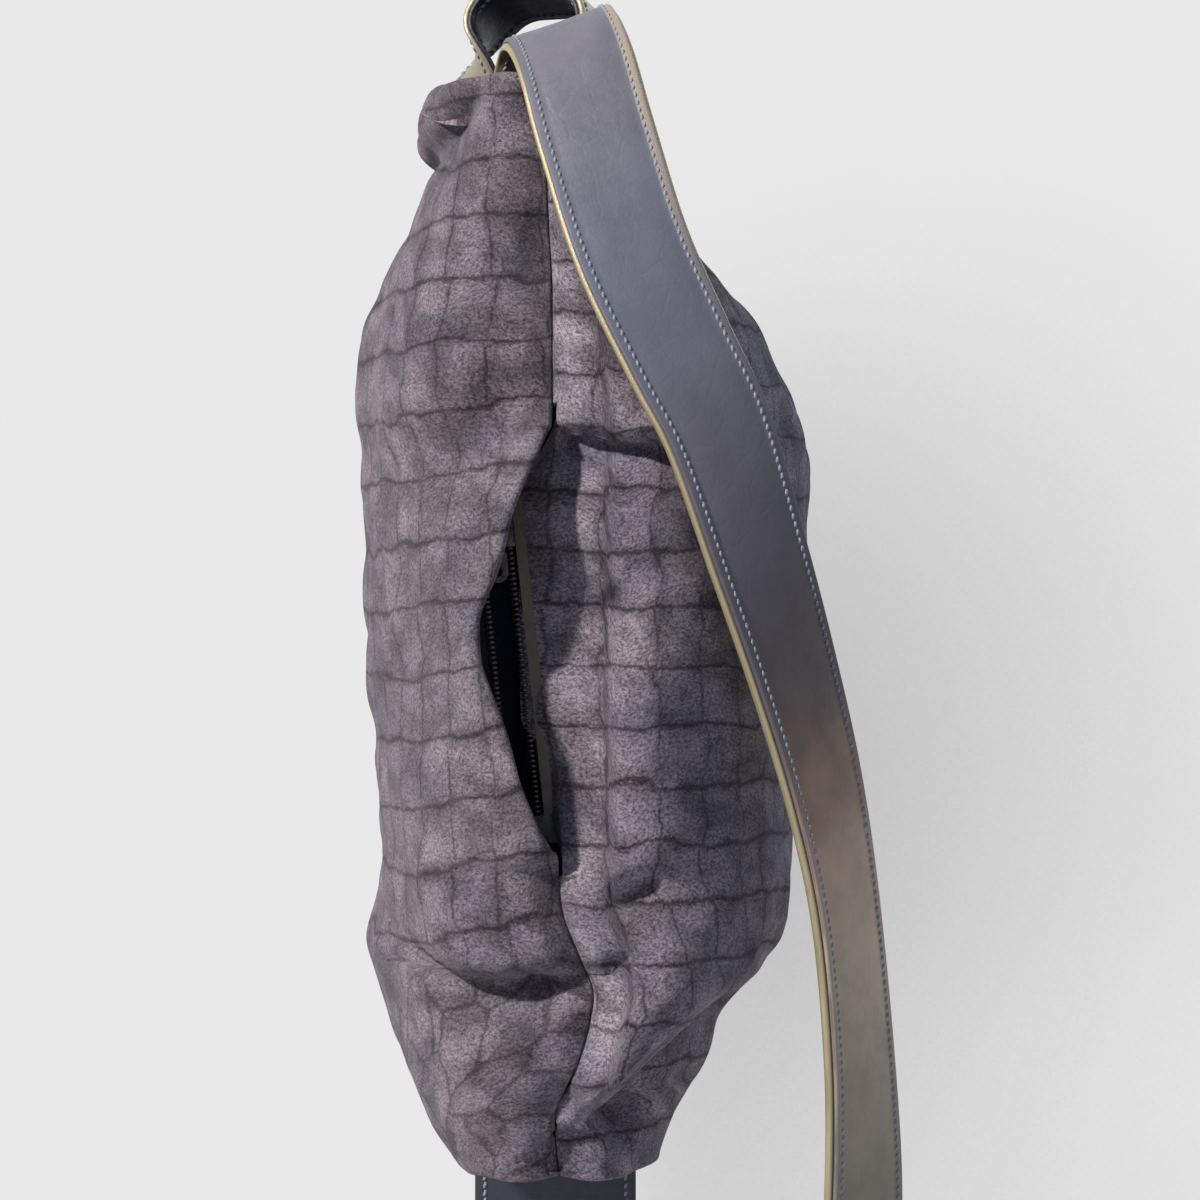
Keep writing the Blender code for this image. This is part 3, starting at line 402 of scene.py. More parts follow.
def suede(name, cell, rows, light):
    """Napped suede printed with uneven squares, and with rounded cells below so many rows."""
    s = Shader(name)
    cloth = s.attribute("cloth")
    moved = cloth
    for scale, detail, reach in PRINT_STRAYS:
        stray = s.noise(cloth, scale, detail, output="Color")
        stray = s.vector("SUBTRACT", stray, (0.5, 0.5, 0.5))
        moved = s.vector("ADD", moved, s.vector("SCALE", stray, reach))
    split = s.parts(moved)
    down = s.math("DIVIDE", split["Y"], cell[1])
    row = s.math("FLOOR", down)
    jitter = s.node("TexWhiteNoise", {"W": row}, noise_dimensions="1D").outputs["Value"]
    across = s.math("DIVIDE", split["X"], cell[0])
    across = s.add(across, s.times(jitter, PRINT_JITTER_SHARE))

    def line(share, size, *span):
        """The distance to the nearest line, and how dark the line is there."""
        from_middle = s.math("ABSOLUTE", s.less(s.math("FRACT", share), 0.5))
        distance = s.times(s.less(0.5, from_middle), size)
        return distance, s.less(1.0, s.between(distance, *span))

    ticks = s.node("Mapping", {"Vector": cloth, "Scale": (1, 0.3, 1)}).outputs[0]
    fray = s.between(s.noise(ticks, 1500.0, 3.0, 0.7), 0.35, 0.7)
    patch = s.noise(cloth, 85.0)
    width = s.add(s.times(fray, s.between(patch, 0.3, 0.65, *PRINT_FRAY)), PRINT_LINE)
    thin = s.add(s.times(width, 0.45), 0.0004)
    level_distance, level = line(down, cell[1], 0.0002, width)
    level = s.times(level, s.between(patch, 0.25, 0.5, 0.62, 1.0))
    upright_distance, upright = line(across, cell[0], 0.0, thin)
    upright = s.times(upright, s.between(patch, 0.28, 0.6, 0.45, 0.9))
    square = s.math("MAXIMUM", level, upright)
    nearest_line = s.math("MINIMUM", level_distance, upright_distance)
    halo = s.less(1.0, s.between(nearest_line, 0.0, PRINT_HALO))

    flat = s.vector("MULTIPLY", moved, (1, 1, 0))
    round_share = s.cells(s.vector("ADD", flat, (0.4, 0.2, 0)), 1 / cell[1], "DISTANCE_TO_EDGE")
    round_distance = s.times(round_share, cell[1])
    round_line = s.less(1.0, s.between(round_distance, 0.0, s.add(thin, 0.0003)))
    rounded = -rows * FRONT_CELL[1]
    low = s.between(split["Y"], rounded - PRINT_CHANGE, rounded + PRINT_CHANGE, 1.0, 0.0)
    printed = s.node("Mix", {0: low, 2: square, 3: s.times(round_line, 0.8)}).outputs[0]

    cloud = s.noise(cloth, 26.0, 4.0, 0.6)
    # Soft darker patches in the nap: partly wear, partly painted shade of shallow dents
    wear_and_dent_shade = s.between(s.noise(cloth, 62.0, 3.0, 0.55), 0.36, 0.62, 0.62, 1.12)
    nap = s.noise(cloth, 820.0, 5.0, 0.85)
    fibre = s.noise(cloth, 2600.0, 2.0, 0.8)
    colour = s.ramp(cloud, SUEDE_TONES)
    colour = s.mix(s.times(halo, 0.24), colour, tint(HALO_COLOUR))
    colour = s.mix(s.times(printed, 0.8), colour, tint(PRINT_COLOUR))
    grain = s.add(nap, s.times(fibre, 0.35))
    # The lightness scales the whole suede; the back's copy is raised as painted light
    grain = s.between(grain, 0.53, 0.83, 0.28 * light, 1.88 * light)
    colour = s.vector("SCALE", colour, s.times(grain, wear_and_dent_shade))
    normal = s.bump(fibre, 0.4, 0.0003, s.bump(nap, 0.8, 0.001))
    return s.finish(
        colour=colour, roughness=0.96, normal=normal, specular=0.1,
        sheen=0.22, sheen_roughness=0.4, sheen_tint=(0.86, 0.8, 0.88, 1),
    )


# The length over which a strap's tones run, and the bronze band near its front edge: gilding and painted
# highlight
STRAP_RUN = 0.7
GILT_HIGHLIGHT_BAND = (0.0144, 0.0149)
GILT_HIGHLIGHT_RUN_SHARES = (0.09, 0.27)
BRONZE_HIGHLIGHT = (0.355, 0.291, 0.234)


def leather(
    name, stops, grain=1100.0, roughness=(0.34, 0.5), metallic=0.0, wear=None, gilt_and_highlight=False
):
    """Smooth grained leather. A strap's has tones along its run, rubbed edges, and a gilded band of
    painted highlight.
    """
    s = Shader(name)
    ground = stops[0][1]
    if wear:
        place = s.attribute("strap")
        split = s.parts(place)
        run = s.math("DIVIDE", split["X"], STRAP_RUN)
        run = s.add(run, s.between(s.noise(place, 60.0), 0.3, 0.7, -0.01, 0.01))
        # The tones along a strap's run are partly painted light: STRAP_TONES holds a stretch of painted
        # sunlight
        colour = s.ramp(run, stops)
        edge = s.between(split["Z"], 0.0, 1.0)
    else:
        place = s.place()
        colour = tint(ground)
    cloud = s.noise(place, 45.0, 3.0, 0.6)
    colour = s.mix(s.between(cloud, 0.35, 0.7, 0.0, 0.2), colour, tint(ground, 0.45))
    pebble = s.cells(place, grain, "SMOOTH_F1")
    fine = s.noise(place, grain * 2.4, 3.0, 0.6)
    colour = s.mix(s.between(fine, 0.28, 0.45, 0.35, 0.0), colour, tint(ground, 0.3))
    crease = s.cells(s.vector("ADD", place, (0.3, 0.1, 0.2)), grain / 9, "DISTANCE_TO_EDGE")
    crease = s.between(crease, 0.0, 0.1)
    if wear:
        rub = s.times(edge, s.between(cloud, 0.35, 0.65, 0.35, 0.9))
        colour = s.mix(rub, colour, tint(wear))
    # The bronze band beyond the face's stitches: gilding, and a painted highlight that fades down the
    # strap
    if gilt_and_highlight:
        band = s.between(s.times(split["Y"], -1.0), *GILT_HIGHLIGHT_BAND)
        band = s.times(band, s.between(run, *GILT_HIGHLIGHT_RUN_SHARES, 0.9, 0.0))
        colour = s.mix(band, colour, tint(BRONZE_HIGHLIGHT))
    rough = s.between(s.noise(place, 300.0, 3.0), 0.3, 0.7, *roughness)
    normal = s.bump(crease, 0.1, 0.0003, s.bump(pebble, 0.22, 0.00025))
    normal = s.bump(fine, 0.18, 0.0002, normal)
    return s.finish(
        colour=colour, roughness=rough, normal=normal, metallic=metallic, specular=0.45,
    )


def thread(name, colour):
    """Twisted sewing thread."""
    s = Shader(name)
    twist = s.noise(s.place(), 2600.0)
    shade = s.mix(s.between(twist, 0.3, 0.7), tint(colour, 0.45), tint(colour))
    return s.finish(colour=shade, roughness=0.8, normal=s.bump(twist, 0.5, 0.0002), specular=0.3)


def woven(name, colour, pitch):
    """Plain weave, such as a zip's tape or a lining."""
    s = Shader(name)
    place = s.place()
    split = s.parts(place)
    turn = 2 * math.pi / pitch
    warp = s.math("SINE", s.times(split["Y"], turn))
    weft = s.math("SINE", s.times(split["Z"], turn))
    weave = s.times(warp, weft)
    height = s.add(s.times(weave, 0.6), s.noise(place, 1500.0, 3.0, 0.7))
    shade = s.mix(s.between(height, -0.2, 1.3), tint(colour, 0.35), tint(colour, 1.5))
    return s.finish(
        colour=shade, roughness=0.9, normal=s.bump(height, 0.5, pitch / 3), specular=0.2,
        sheen=0.15, sheen_roughness=0.5,
    )


def moulded(name, colour, roughness):
    """Moulded plastic or coated board, with faint flow marks and scuffs."""
    s = Shader(name)
    scuff = s.noise(s.place(), 700.0, 4.0, 0.6)
    shade = s.mix(s.between(scuff, 0.35, 0.75), tint(colour), tint(colour, 1.8))
    rough = s.between(scuff, 0.3, 0.7, roughness - 0.06, roughness + 0.1)
    return s.finish(colour=shade, roughness=rough, normal=s.bump(scuff, 0.12, 0.0002), specular=0.5)


def aged_metal(name, colour, dark):
    """Antiqued metal, dull in some patches and rubbed bright in others."""
    s = Shader(name)
    place = s.place()
    stain = s.noise(place, 420.0, 4.0, 0.65)
    stretched = s.node("Mapping", {"Vector": place, "Scale": (1, 8, 1)}).outputs[0]
    brushed = s.bump(s.noise(stretched, 900.0), 0.15, 0.0002)
    shade = s.mix(s.between(stain, 0.35, 0.66), tint(dark), tint(colour))
    rough = s.between(stain, 0.3, 0.7, 0.48, 0.22)
    return s.finish(colour=shade, roughness=rough, metallic=1.0, normal=brushed)


# Colours along the straps' faces and linings, from the shoulder down, as shares of STRAP_RUN
# The face's tones are partly painted light: the bright tan stretch low down is painted sunlight,
# on a stretch of face that turns away from the sun lamp
STRAP_TONES = (
    (0, (0.085, 0.085, 0.114)), (0.09, (0.15, 0.146, 0.175)),
    (0.2, (0.116, 0.122, 0.17)), (0.3, (0.113, 0.108, 0.14)),
    (0.385, (0.074, 0.06, 0.07)), (0.42, (0.116, 0.082, 0.078)),
    (0.455, (0.294, 0.182, 0.14)), (0.49, (0.5, 0.35, 0.255)),
    (0.54, (0.5, 0.405, 0.29)), (0.6, (0.345, 0.285, 0.22)),
    (0.68, (0.205, 0.18, 0.148)), (0.84, (0.099, 0.097, 0.099)),
    (1, (0.057, 0.06, 0.078)),
)
GOLD_TONES = (
    (0, (0.36, 0.29, 0.175)), (0.3, (0.32, 0.256, 0.155)),
    (0.48, (0.235, 0.192, 0.125)), (0.7, (0.17, 0.153, 0.106)),
    (1, (0.128, 0.121, 0.092)),
)

# The back's suede is lighter than the front's: painted light, for the sun that falls more fully on the
# back panel
FRONT_SUEDE = suede("suede_front", FRONT_CELL, 8.6, 0.94)
BACK_SUEDE = suede("suede_back", BACK_CELL, 20, 1.3)
STRAP_LEATHER = leather("strap_leather", STRAP_TONES, wear=(0.078, 0.082, 0.106), gilt_and_highlight=True)
STRAP_GOLD = leather(
    "strap_gold", GOLD_TONES, 900.0, (0.3, 0.46), metallic=0.45, wear=(0.426, 0.369, 0.241)
)
# Darker than the navy leather is, to match the base tab in the bag's shadow: partly painted shade
NAVY_LEATHER = leather("navy_leather", ((0, (0.021, 0.025, 0.038)),))
GOLD_LEATHER = leather(
    "gold_leather", ((0, (0.33, 0.285, 0.195)),), 800.0, (0.28, 0.44), metallic=0.5
)
TAN_LEATHER = leather("tan_leather", ((0, (0.042, 0.032, 0.026)),), 1000.0)
THREAD = thread("pale_thread", (0.345, 0.38, 0.46))
TAPE = woven("zip_tape", (0.017, 0.017, 0.023), 0.0011)
COIL = moulded("zip_coil", (0.017, 0.017, 0.02), 0.34)
BRASS = aged_metal("zip_metal", (0.34, 0.29, 0.21), (0.1, 0.085, 0.065))
DARK_METAL = aged_metal("zip_dark_metal", (0.075, 0.07, 0.068), (0.028, 0.026, 0.026))
LINING = woven("lining_cloth", (0.028, 0.034, 0.064), 0.0009)
BOARD = moulded("base_board", (0.071, 0.071, 0.071), 0.7)


# Meshes


def mesh_piece(name, shape, material, attributes=None):
    """A smooth shaded object from a bmesh, with vectors kept at its points."""
    mesh = bpy.data.meshes.new(name)
    shape.to_mesh(mesh)
    shape.free()
    for key, values in (attributes or {}).items():
        layer = mesh.attributes.new(key, "FLOAT_VECTOR", "POINT")
        layer.data.foreach_set("vector", [number for value in values for number in value])
    mesh.materials.append(material)
    mesh.shade_smooth()
    piece = bpy.data.objects.new(name, mesh)
    bpy.context.scene.collection.objects.link(piece)
    return piece


def bridge(shape, lines, around=True, outward=True):
    """Faces between each line of corners and the next, open or closed around."""
    for first, second in zip(lines, lines[1:]):
        count = len(first)
        for index in range(count if around else count - 1):
            after = (index + 1) % count
            corners = (first[index], first[after], second[after], second[index])
            shape.faces.new(corners if outward else corners[::-1])


def surface_piece(name, rows, material, cloth=None, around=False, outward=True, cap=None):
    """A surface through rows of points, with a flat cap on its first or last row."""
    shape = bmesh.new()
    lines = [[shape.verts.new(point) for point in row] for row in rows]
    bridge(shape, lines, around, outward)
    if cap:
        shape.faces.new(lines[0][::-1] if cap == "first" else lines[-1])
    piece = mesh_piece(name, shape, material, {"cloth": cloth} if cloth else None)
    if cap:
        piece.data.polygons[-1].use_smooth = False
    return piece


def settle(piece, slot, *replaced):
    """Put a piece on the bag, in place of the CAD nodes that it dresses. The slot is not used."""
    if replaced:
        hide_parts(*replaced)
    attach(piece, "bag")


# The bag's outside


def section(share):
    """Half width, front depth, back depth, seam place and squareness at a share of the height."""
    width, front, back, seam, power = between(SECTION_SHARES, share)
    seam_y = seam * SEAM_OFFSET
    return HALF_WIDTH * width, FRONT_DEPTH * front + seam_y, BACK_DEPTH * back - seam_y, seam_y, power


def surface(share, angle):
    """A point of the bag's outside. The angle turns from the near side towards the back."""
    width, front, back, seam_y, power = section(share)
    across = math.cos(angle)
    out = math.sin(angle)
    depth = back if out > 0 else front
    x = width * math.copysign(abs(across) ** (2 / power), across)
    y = seam_y + depth * math.copysign(abs(out) ** (2 / power), out)
    return Vector((x, y, BASE_Z + share * BAG_HEIGHT))


def rim_share(angle):
    """The rim's share of the height, lower at the mouth's two ends."""
    return 1 - RIM_DROOP / BAG_HEIGHT * abs(math.cos(angle)) ** RIM_DROOP_POWER


def edge_angle(share, offset, facing_back):
    """The angle at which the outside lies this far in front of or behind the seam."""
    width, front, back, seam_y, power = section(share)
    depth = back if facing_back else front
    return math.asin((max(offset, 0) / depth) ** (power / 2))


def gape(z):
    """How far the pocket's mouth is open at a height, as a share of its greatest gape."""
    down = (POCKET_TOP - z) / POCKET_HEIGHT
    if down <= 0 or down >= 1:
        return 0
    return max(between(FINE_GAPE_SHARES, down)[0], 0)


def pocket_shift(point, share, facing_back):
    """How far the front panel swells out beside the pocket's mouth, or the back panel sinks in."""
    seam_y = section(share)[3]
    strength = math.sqrt(gape(point.z))
    if facing_back:
        return -POCKET_SINK * strength * (1 - ease((point.y - seam_y) / SINK_WIDTH))
    return POCKET_LIFT * strength * (1 - ease((seam_y - point.y) / LIFT_WIDTH))


# Folds


def nearest(line, across, up):
    """The distance to a line, which side of it a place is on, and how far along it."""
    best = None
    for index, (start, end) in enumerate(zip(line, line[1:])):
        run = (end[0] - start[0], end[1] - start[1])
        share = ((across - start[0]) * run[0] + (up - start[1]) * run[1]) / (run[0] ** 2 + run[1] ** 2)
        share = min(max(share, 0), 1)
        away = (across - start[0] - run[0] * share, up - start[1] - run[1] * share)
        distance = math.hypot(*away)
        if best is None or distance < best[0]:
            best = (distance, run[0] * away[1] - run[1] * away[0], (index + share) / (len(line) - 1))
    return best


def bell(distance, width):
    """1 at no distance, falling off smoothly over a width."""
    return math.exp(-((distance / width) ** 2))


def end_fade(share, left, first, last):
    """How much of a fold is there at a share of its run."""
    return left + (1 - left) * ease(share / first) * ease((1 - share) / last)


def step_height(rise, fall, rise_width, fall_width, line, across, up):
    """How far a step moves the cloth: out above its line, and in below it."""
    distance, side, share = nearest(line, across, up)
    depth, width = (rise, rise_width) if side > 0 else (-fall, fall_width)
    start = STEP_STARTS[0 if side > 0 else 1]
    return depth * end_fade(share, *STEP_END_SHARES) * ease(distance / start) * bell(distance, width)


def crease_height(depth, width, line, across, up):
    """How far a crease or ridge moves the cloth."""
    distance, side, share = nearest(line, across, up)
    return -depth * end_fade(share, *CREASE_END_SHARES) * bell(distance, width)


def folds(point):
    """How far the near side's folds move the cloth towards that side."""
    near = ease(point.x / NEAR_REACH)
    if near == 0:
        return 0.0
    steps = sum(step_height(*fold, point.y, point.z) for fold in STEPS)
    creases = sum(crease_height(*fold, point.y, point.z) for fold in CREASES)
    return near * (steps + creases)


def lip(point):
    """How far the front lip's folding over moves the cloth out, and how far it drops the cloth."""
    front = smooth(point.y, *LIP_SPAN_Y)
    level = point.z - LIP_CLIMB * max(point.y - LIP_SPAN_Y[1], 0)
    height = sum(depth * bell(level - z, width) for z, depth, width in (LIP_SWELL, LIP_TUCK))
    height -= LIP_DRAW_IN * smooth(point.z, *LIP_DRAW_IN_SPAN) ** 2
    return front * height, front * LIP_DROP * smooth(point.z, *LIP_DROP_SPAN)


def relief(point, seam_distance, open_share):
    """How far the seam's valley and slack move the cloth out."""
    near = ease(point.x / NEAR_REACH)
    closed = 1 - min(open_share / VALLEY_GAPE_SHARE, 1) * near
    valley = -VALLEY_DEPTH * bell(seam_distance, VALLEY_WIDTH) * closed
    slack = SLACK[0] * noise.noise(point * SLACK[1] + Vector((3.1, 0, 0)))
    stretched = Vector((point.x, point.y, point.z * WAVE_SQUASH))
    wave = WAVE[0] * noise.noise(stretched * WAVE[1] + Vector((0, 7.7, 0)))
    pucker = PUCKER[0] * noise.noise(point * PUCKER[1])
    return valley + slack * (1 - NEAR_CALM_SHARE * near) + wave + pucker


# The suede panels, base and lining


def roll(edge, inner, normal, radius, hem):
    """Points that turn an edge under: round a half circle, then back along the inside."""
    towards = (edge - inner).normalized()
    points = []
    for step in range(1, ROLL_STEPS + 1):
        turn = math.pi * step / ROLL_STEPS
        points.append(edge + towards * radius * math.sin(turn) - normal * radius * (1 - math.cos(turn)))
    points.append(points[-1] - towards * hem)
    return points


def pocket_edge(edge, open_share):
    """Points that run from the back panel's edge over the pocket's facing."""
    strength = ease(open_share / EDGE_GAPE_SHARE)
    reach = EDGE_REACH + (LOW_EDGE_REACH - EDGE_REACH) * smooth(edge.z, *LOW_EDGE_SPAN)
    points = []
    for step in range(1, ROLL_STEPS + 2):
        share = step / (ROLL_STEPS + 1)
        point = edge.copy()
        point.y -= reach * share * strength
        point.x += (FACING_X + EDGE_CLEARANCE - point.x) * ease(share) * strength - EDGE_DIP * share
        points.append(point)
    return points


def smooth_rows(facing_back):
    """A panel's rows before its folds, each with the gape and its start's distance to the seam."""
    rows = []
    for row in range(ROWS + 1):
        row_share = row / ROWS
        near_height = row_share * rim_share(0)
        open_share = gape(BASE_Z + near_height * BAG_HEIGHT)
        inset = SEAM_ROLL + (0 if facing_back else POCKET_GAPE * open_share)
        start = edge_angle(near_height, inset, facing_back)
        end = math.pi - edge_angle(near_height, SEAM_ROLL, facing_back)
        line = []
        for column in range(COLUMNS + 1):
            angle = start + (end - start) * column / COLUMNS
            if not facing_back:
                angle = -angle
            share = row_share * rim_share(angle)
            point = surface(share, angle)
            if point.x > 0:
                point.x += pocket_shift(point, share, facing_back)
            line.append(point)
        rows.append((line, open_share, inset))
    return rows


def row_normals(grid, row, facing_back):
    """The ways out of the cloth along one of a panel's rows."""
    line = grid[row][0]
    below = grid[max(row - 1, 0)][0]
    above = grid[min(row + 1, ROWS)][0]
    normals = []
    for column in range(COLUMNS + 1):
        along = line[min(column + 1, COLUMNS)] - line[max(column - 1, 0)]
        rise = above[column] - below[column]
        normal = along.cross(rise) if facing_back else rise.cross(along)
        normals.append(normal.normalized())
    return normals


def panel(name, facing_back, material, node):
    """One suede panel from seam to seam, its edges turned under at seams, rim and pocket."""
    line_z = BACK_LINE_Z if facing_back else FRONT_LINE_Z
    side = 1 if facing_back else -1
    grid = smooth_rows(facing_back)
    normals = [row_normals(grid, row, facing_back) for row in range(ROWS + 1)]
    rows = []
    cloth = []
    climbs = [0.0] * (COLUMNS + 1)
    for row, (line, open_share, inset) in enumerate(grid):
        seam_y = section(row / ROWS)[3]
        folded = []
        for point, normal in zip(line, normals[row]):
            out, drop = lip(point)
            moved = point + normal * (out + relief(point, abs(point.y - seam_y), open_share))
            moved.x += folds(point)
            moved.z -= drop
            folded.append(moved)
        if row > 0:
            climbs = [climb + (a - b).length for climb, a, b in zip(climbs, folded, previous)]
        previous = folded

        radius = SEAM_ROLL
        if not facing_back:
            radius += (POCKET_ROLL - SEAM_ROLL) * min(open_share / ROLL_GAPE_SHARE, 1)
        if facing_back and open_share > 0:
            start_roll = pocket_edge(folded[0], open_share)
        else:
            start_roll = roll(folded[0], folded[1], normals[row][0], radius, SIDE_HEM)
        end_roll = roll(folded[-1], folded[-2], normals[row][-1], SEAM_ROLL, SIDE_HEM)
        rows.append(start_roll[::-1] + folded + end_roll)

        # Where each point lies on the flat cloth: from the seam, from a printed line and up
        reach = inset
        reaches = [reach]
        for before, after in zip(folded, folded[1:]):
            reach += (after - before).length
            reaches.append(reach)
        reaches = (
            [inset - radius * step for step in range(len(start_roll), 0, -1)]
            + reaches
            + [reach + SEAM_ROLL * step for step in range(1, len(end_roll) + 1)]
        )
        slope = 0 if facing_back else LINE_SLOPE * (1 - row / ROWS)
        for index, (point, reach) in enumerate(zip(rows[-1], reaches)):
            down = point.z - line_z + slope * min(reach, LINE_SLOPE_REACH)
            climb = climbs[min(max(index - len(start_roll), 0), COLUMNS)]
            cloth.append((side * reach, down, climb))

    # The rim turns in over itself, and the bottom edge turns under
    top = []
    bottom = []
    columns = len(rows[0])
    for column in range(columns):
        middle = min(max(column - ROLL_STEPS - 1, 0), COLUMNS)
        top.append(roll(rows[-1][column], rows[-2][column], normals[-1][middle], RIM_ROLL, RIM_HEM))
        bottom.append(roll(rows[0][column], rows[1][column], normals[0][middle], SEAM_ROLL, BASE_HEM))
    last = cloth[-columns:]
    first = cloth[:columns]
    for step in range(ROLL_STEPS + 1):
        rows.append([line[step] for line in top])
        rows.insert(0, [line[step] for line in bottom])
        cloth += [(u, v + RIM_ROLL * (step + 1), w) for u, v, w in last]
        cloth = [(u, v - SEAM_ROLL * (step + 1), w) for u, v, w in first] + cloth
    settle(surface_piece(name, rows, material, cloth, outward=facing_back), "suede", node)


def ring(share, inset, columns):
    """The bag's section at a share of the height, drawn in by a constant distance."""
    angles = [2 * math.pi * (step + 0.5) / columns for step in range(columns)]
    points = [surface(share, angle) for angle in angles]
    drawn_in = []
    for index, point in enumerate(points):
        along = points[(index + 1) % columns] - points[index - 1]
        outward = Vector((along.y, -along.x, 0)).normalized()
        drawn_in.append(point - outward * inset)
    return drawn_in


# The base's middle, how its edge stands above it, its waves and its division
BASE_MIDDLE = Vector((0, 0.003, BASE_Z + 0.0004))
BASE_EDGE_INSET = 0.0022
BASE_EDGE_RISE = 0.0022
BASE_EDGE_POWER = 8
BASE_SAG = 0.0006
BASE_WAVES = 40
BASE_COLUMNS = 96
BASE_ROWS = 13


def make_base():
    """The suede bottom, which sags a little between its seams."""
    rows = []
    cloth = []
    for step in range(BASE_ROWS):
        share = 1 - step / BASE_ROWS
        line = []
        for point in ring(0, BASE_EDGE_INSET, BASE_COLUMNS):
            place = BASE_MIDDLE + (point - BASE_MIDDLE) * share
            wave = BASE_SAG * (noise.noise(place * BASE_WAVES) - (1 - share))
            place.z = BASE_Z + BASE_EDGE_RISE * share ** BASE_EDGE_POWER + wave
            line.append(place)
            cloth.append((place.x, place.y, 0))
        rows.append(line)
    piece = surface_piece("base_suede", rows, BACK_SUEDE, cloth, around=True, outward=False)
    settle(piece, "suede", "base_panel")


# The lining: how far it hangs inside the suede and more at the pocket, and its pleats
LINING_INSET = 0.0125
POCKET_ROOM = 0.0465
POCKET_FADE = 0.04
LINING_GAPS = (0.0006, 0.0002)
PLEATS = 40
PLEAT_DEPTH = 0.0014
LINING_SWAY = 0.0004
LINING_COLUMNS = 120
LINING_ROWS = 60


def make_lining():
    """The cloth lining, which hangs in soft pleats inside the bag."""
    low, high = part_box("lining")
    bottom = low.z + LINING_GAPS[0]
    height = high.z - LINING_GAPS[1] - bottom
    limit = HALF_WIDTH - POCKET_ROOM
    rows = []
    for row in range(LINING_ROWS + 1):
        z = bottom + height * row / LINING_ROWS
        room = 1 - smooth(z, POCKET_TOP, POCKET_TOP + POCKET_FADE)
        line = []
        for point in ring((z - BASE_Z) / BAG_HEIGHT, LINING_INSET, LINING_COLUMNS):
            point.z = z
            if point.x > limit:
                point.x += (limit - point.x) * room
            point.x += min(folds(point), 0)
            inward = Vector((-point.x, -point.y, 0)).normalized()
            turn = PLEATS * math.atan2(point.y, point.x) + 3 * noise.noise(point * 12)
            pleat = (0.5 + 0.5 * math.sin(turn)) * abs(noise.noise(point * 25))
            line.append(point + inward * (LINING_SWAY + PLEAT_DEPTH * pleat))
        rows.append(line)
    piece = surface_piece("bag_lining", rows, LINING, around=True, cap="first")
    settle(piece, "lining_cloth", "lining")


# Ribbons and stitches

STITCH_INSET = 0.0038
PRESS_DEPTH = 0.0003
PRESS_HALF_WIDTH = 0.0012
CORNER_STEPS = 4
# How far in from its edges a strap is worn
WEAR_WIDTH = 0.0011

STITCH_PITCH = 0.0027
STITCH_LENGTH = 0.0024
STITCH_RADIUS = 0.00055
STITCH_SLANT = 0.34
STITCH_SINK = 4.4
# A stitch's thickness along it, as shares of its length and radius
STITCH_SHARES = ((-0.5, 0.35), (-0.38, 0.9), (0.0, 1.0), (0.38, 0.9), (0.5, 0.35))
TUBE_SIDES = 6


def ribbon_corners(width, low, high, radius, grooves=False):
    """A ribbon's section, as across and up, with rounded edges and pressed stitch lines."""
    half = width / 2
    line = half - STITCH_INSET
    corners = []
    for across, up, start in ((half, high, 0), (-half, high, 1), (-half, low, 2), (half, low, 3)):
        middle = (across - math.copysign(radius, across), up - radius if up == high else up + radius)
        for step in range(CORNER_STEPS + 1):
            turn = math.pi / 2 * (start + step / CORNER_STEPS)
            corners.append((middle[0] + radius * math.cos(turn), middle[1] + radius * math.sin(turn)))
        if start == 0 and grooves:
            flat = [(line + PRESS_HALF_WIDTH, 0), (line, PRESS_DEPTH), (line - PRESS_HALF_WIDTH, 0)]
            flat += [(half / 3, 0)]
            flat += [(0, 0)] + [(-place, dip) for place, dip in reversed(flat)]
            corners += [(place, high - dip) for place, dip in flat]
        if start == 2:
            corners += [(-half / 3, low), (half / 3, low)]
    return corners


def ribbon(name, stations, corners, material, start_length=0.0, caps=(True, True)):
    """A ribbon along its stations, with lengths, widths and edge shares for the shader."""
    shape = bmesh.new()
    half = max(across for across, up in corners)
    rings = []
    kept = []
    length = start_length
    previous = stations[0][0]
    for point, along, across, facing in stations:
        length += (point - previous).length
        previous = point
        rings.append([shape.verts.new(point + across * out + facing * up) for out, up in corners])
        kept += [(length, out, max(0, 1 - (half - abs(out)) / WEAR_WIDTH)) for out, up in corners]
    bridge(shape, rings)
    for end, wanted in zip((rings[0], rings[-1]), caps):
        if wanted:
            shape.faces.new(end)
    bmesh.ops.recalc_face_normals(shape, faces=shape.faces)
    return mesh_piece(name, shape, material, {"strap": kept})


def circle(shape, centre, a, b, radius):
    """Corners round a centre, in the plane of two directions."""
    turns = [2 * math.pi * corner / TUBE_SIDES for corner in range(TUBE_SIDES)]
    return [shape.verts.new(centre + (a * math.cos(t) + b * math.sin(t)) * radius) for t in turns]


def add_stitch(shape, middle, way, up):
    """One short stitch, whose ends go down into the leather."""
    way = (way + way.cross(up) * STITCH_SLANT).normalized()
    side = way.cross(up)
    rings = []
    for run, size in STITCH_SHARES:
        sink = up * STITCH_RADIUS * (0.5 - STITCH_SINK * run * run)
        centre = middle + way * STITCH_LENGTH * run + sink
        rings.append(circle(shape, centre, side, up, STITCH_RADIUS * size))
    bridge(shape, rings)
    shape.faces.new(rings[0][::-1])
    shape.faces.new(rings[-1])


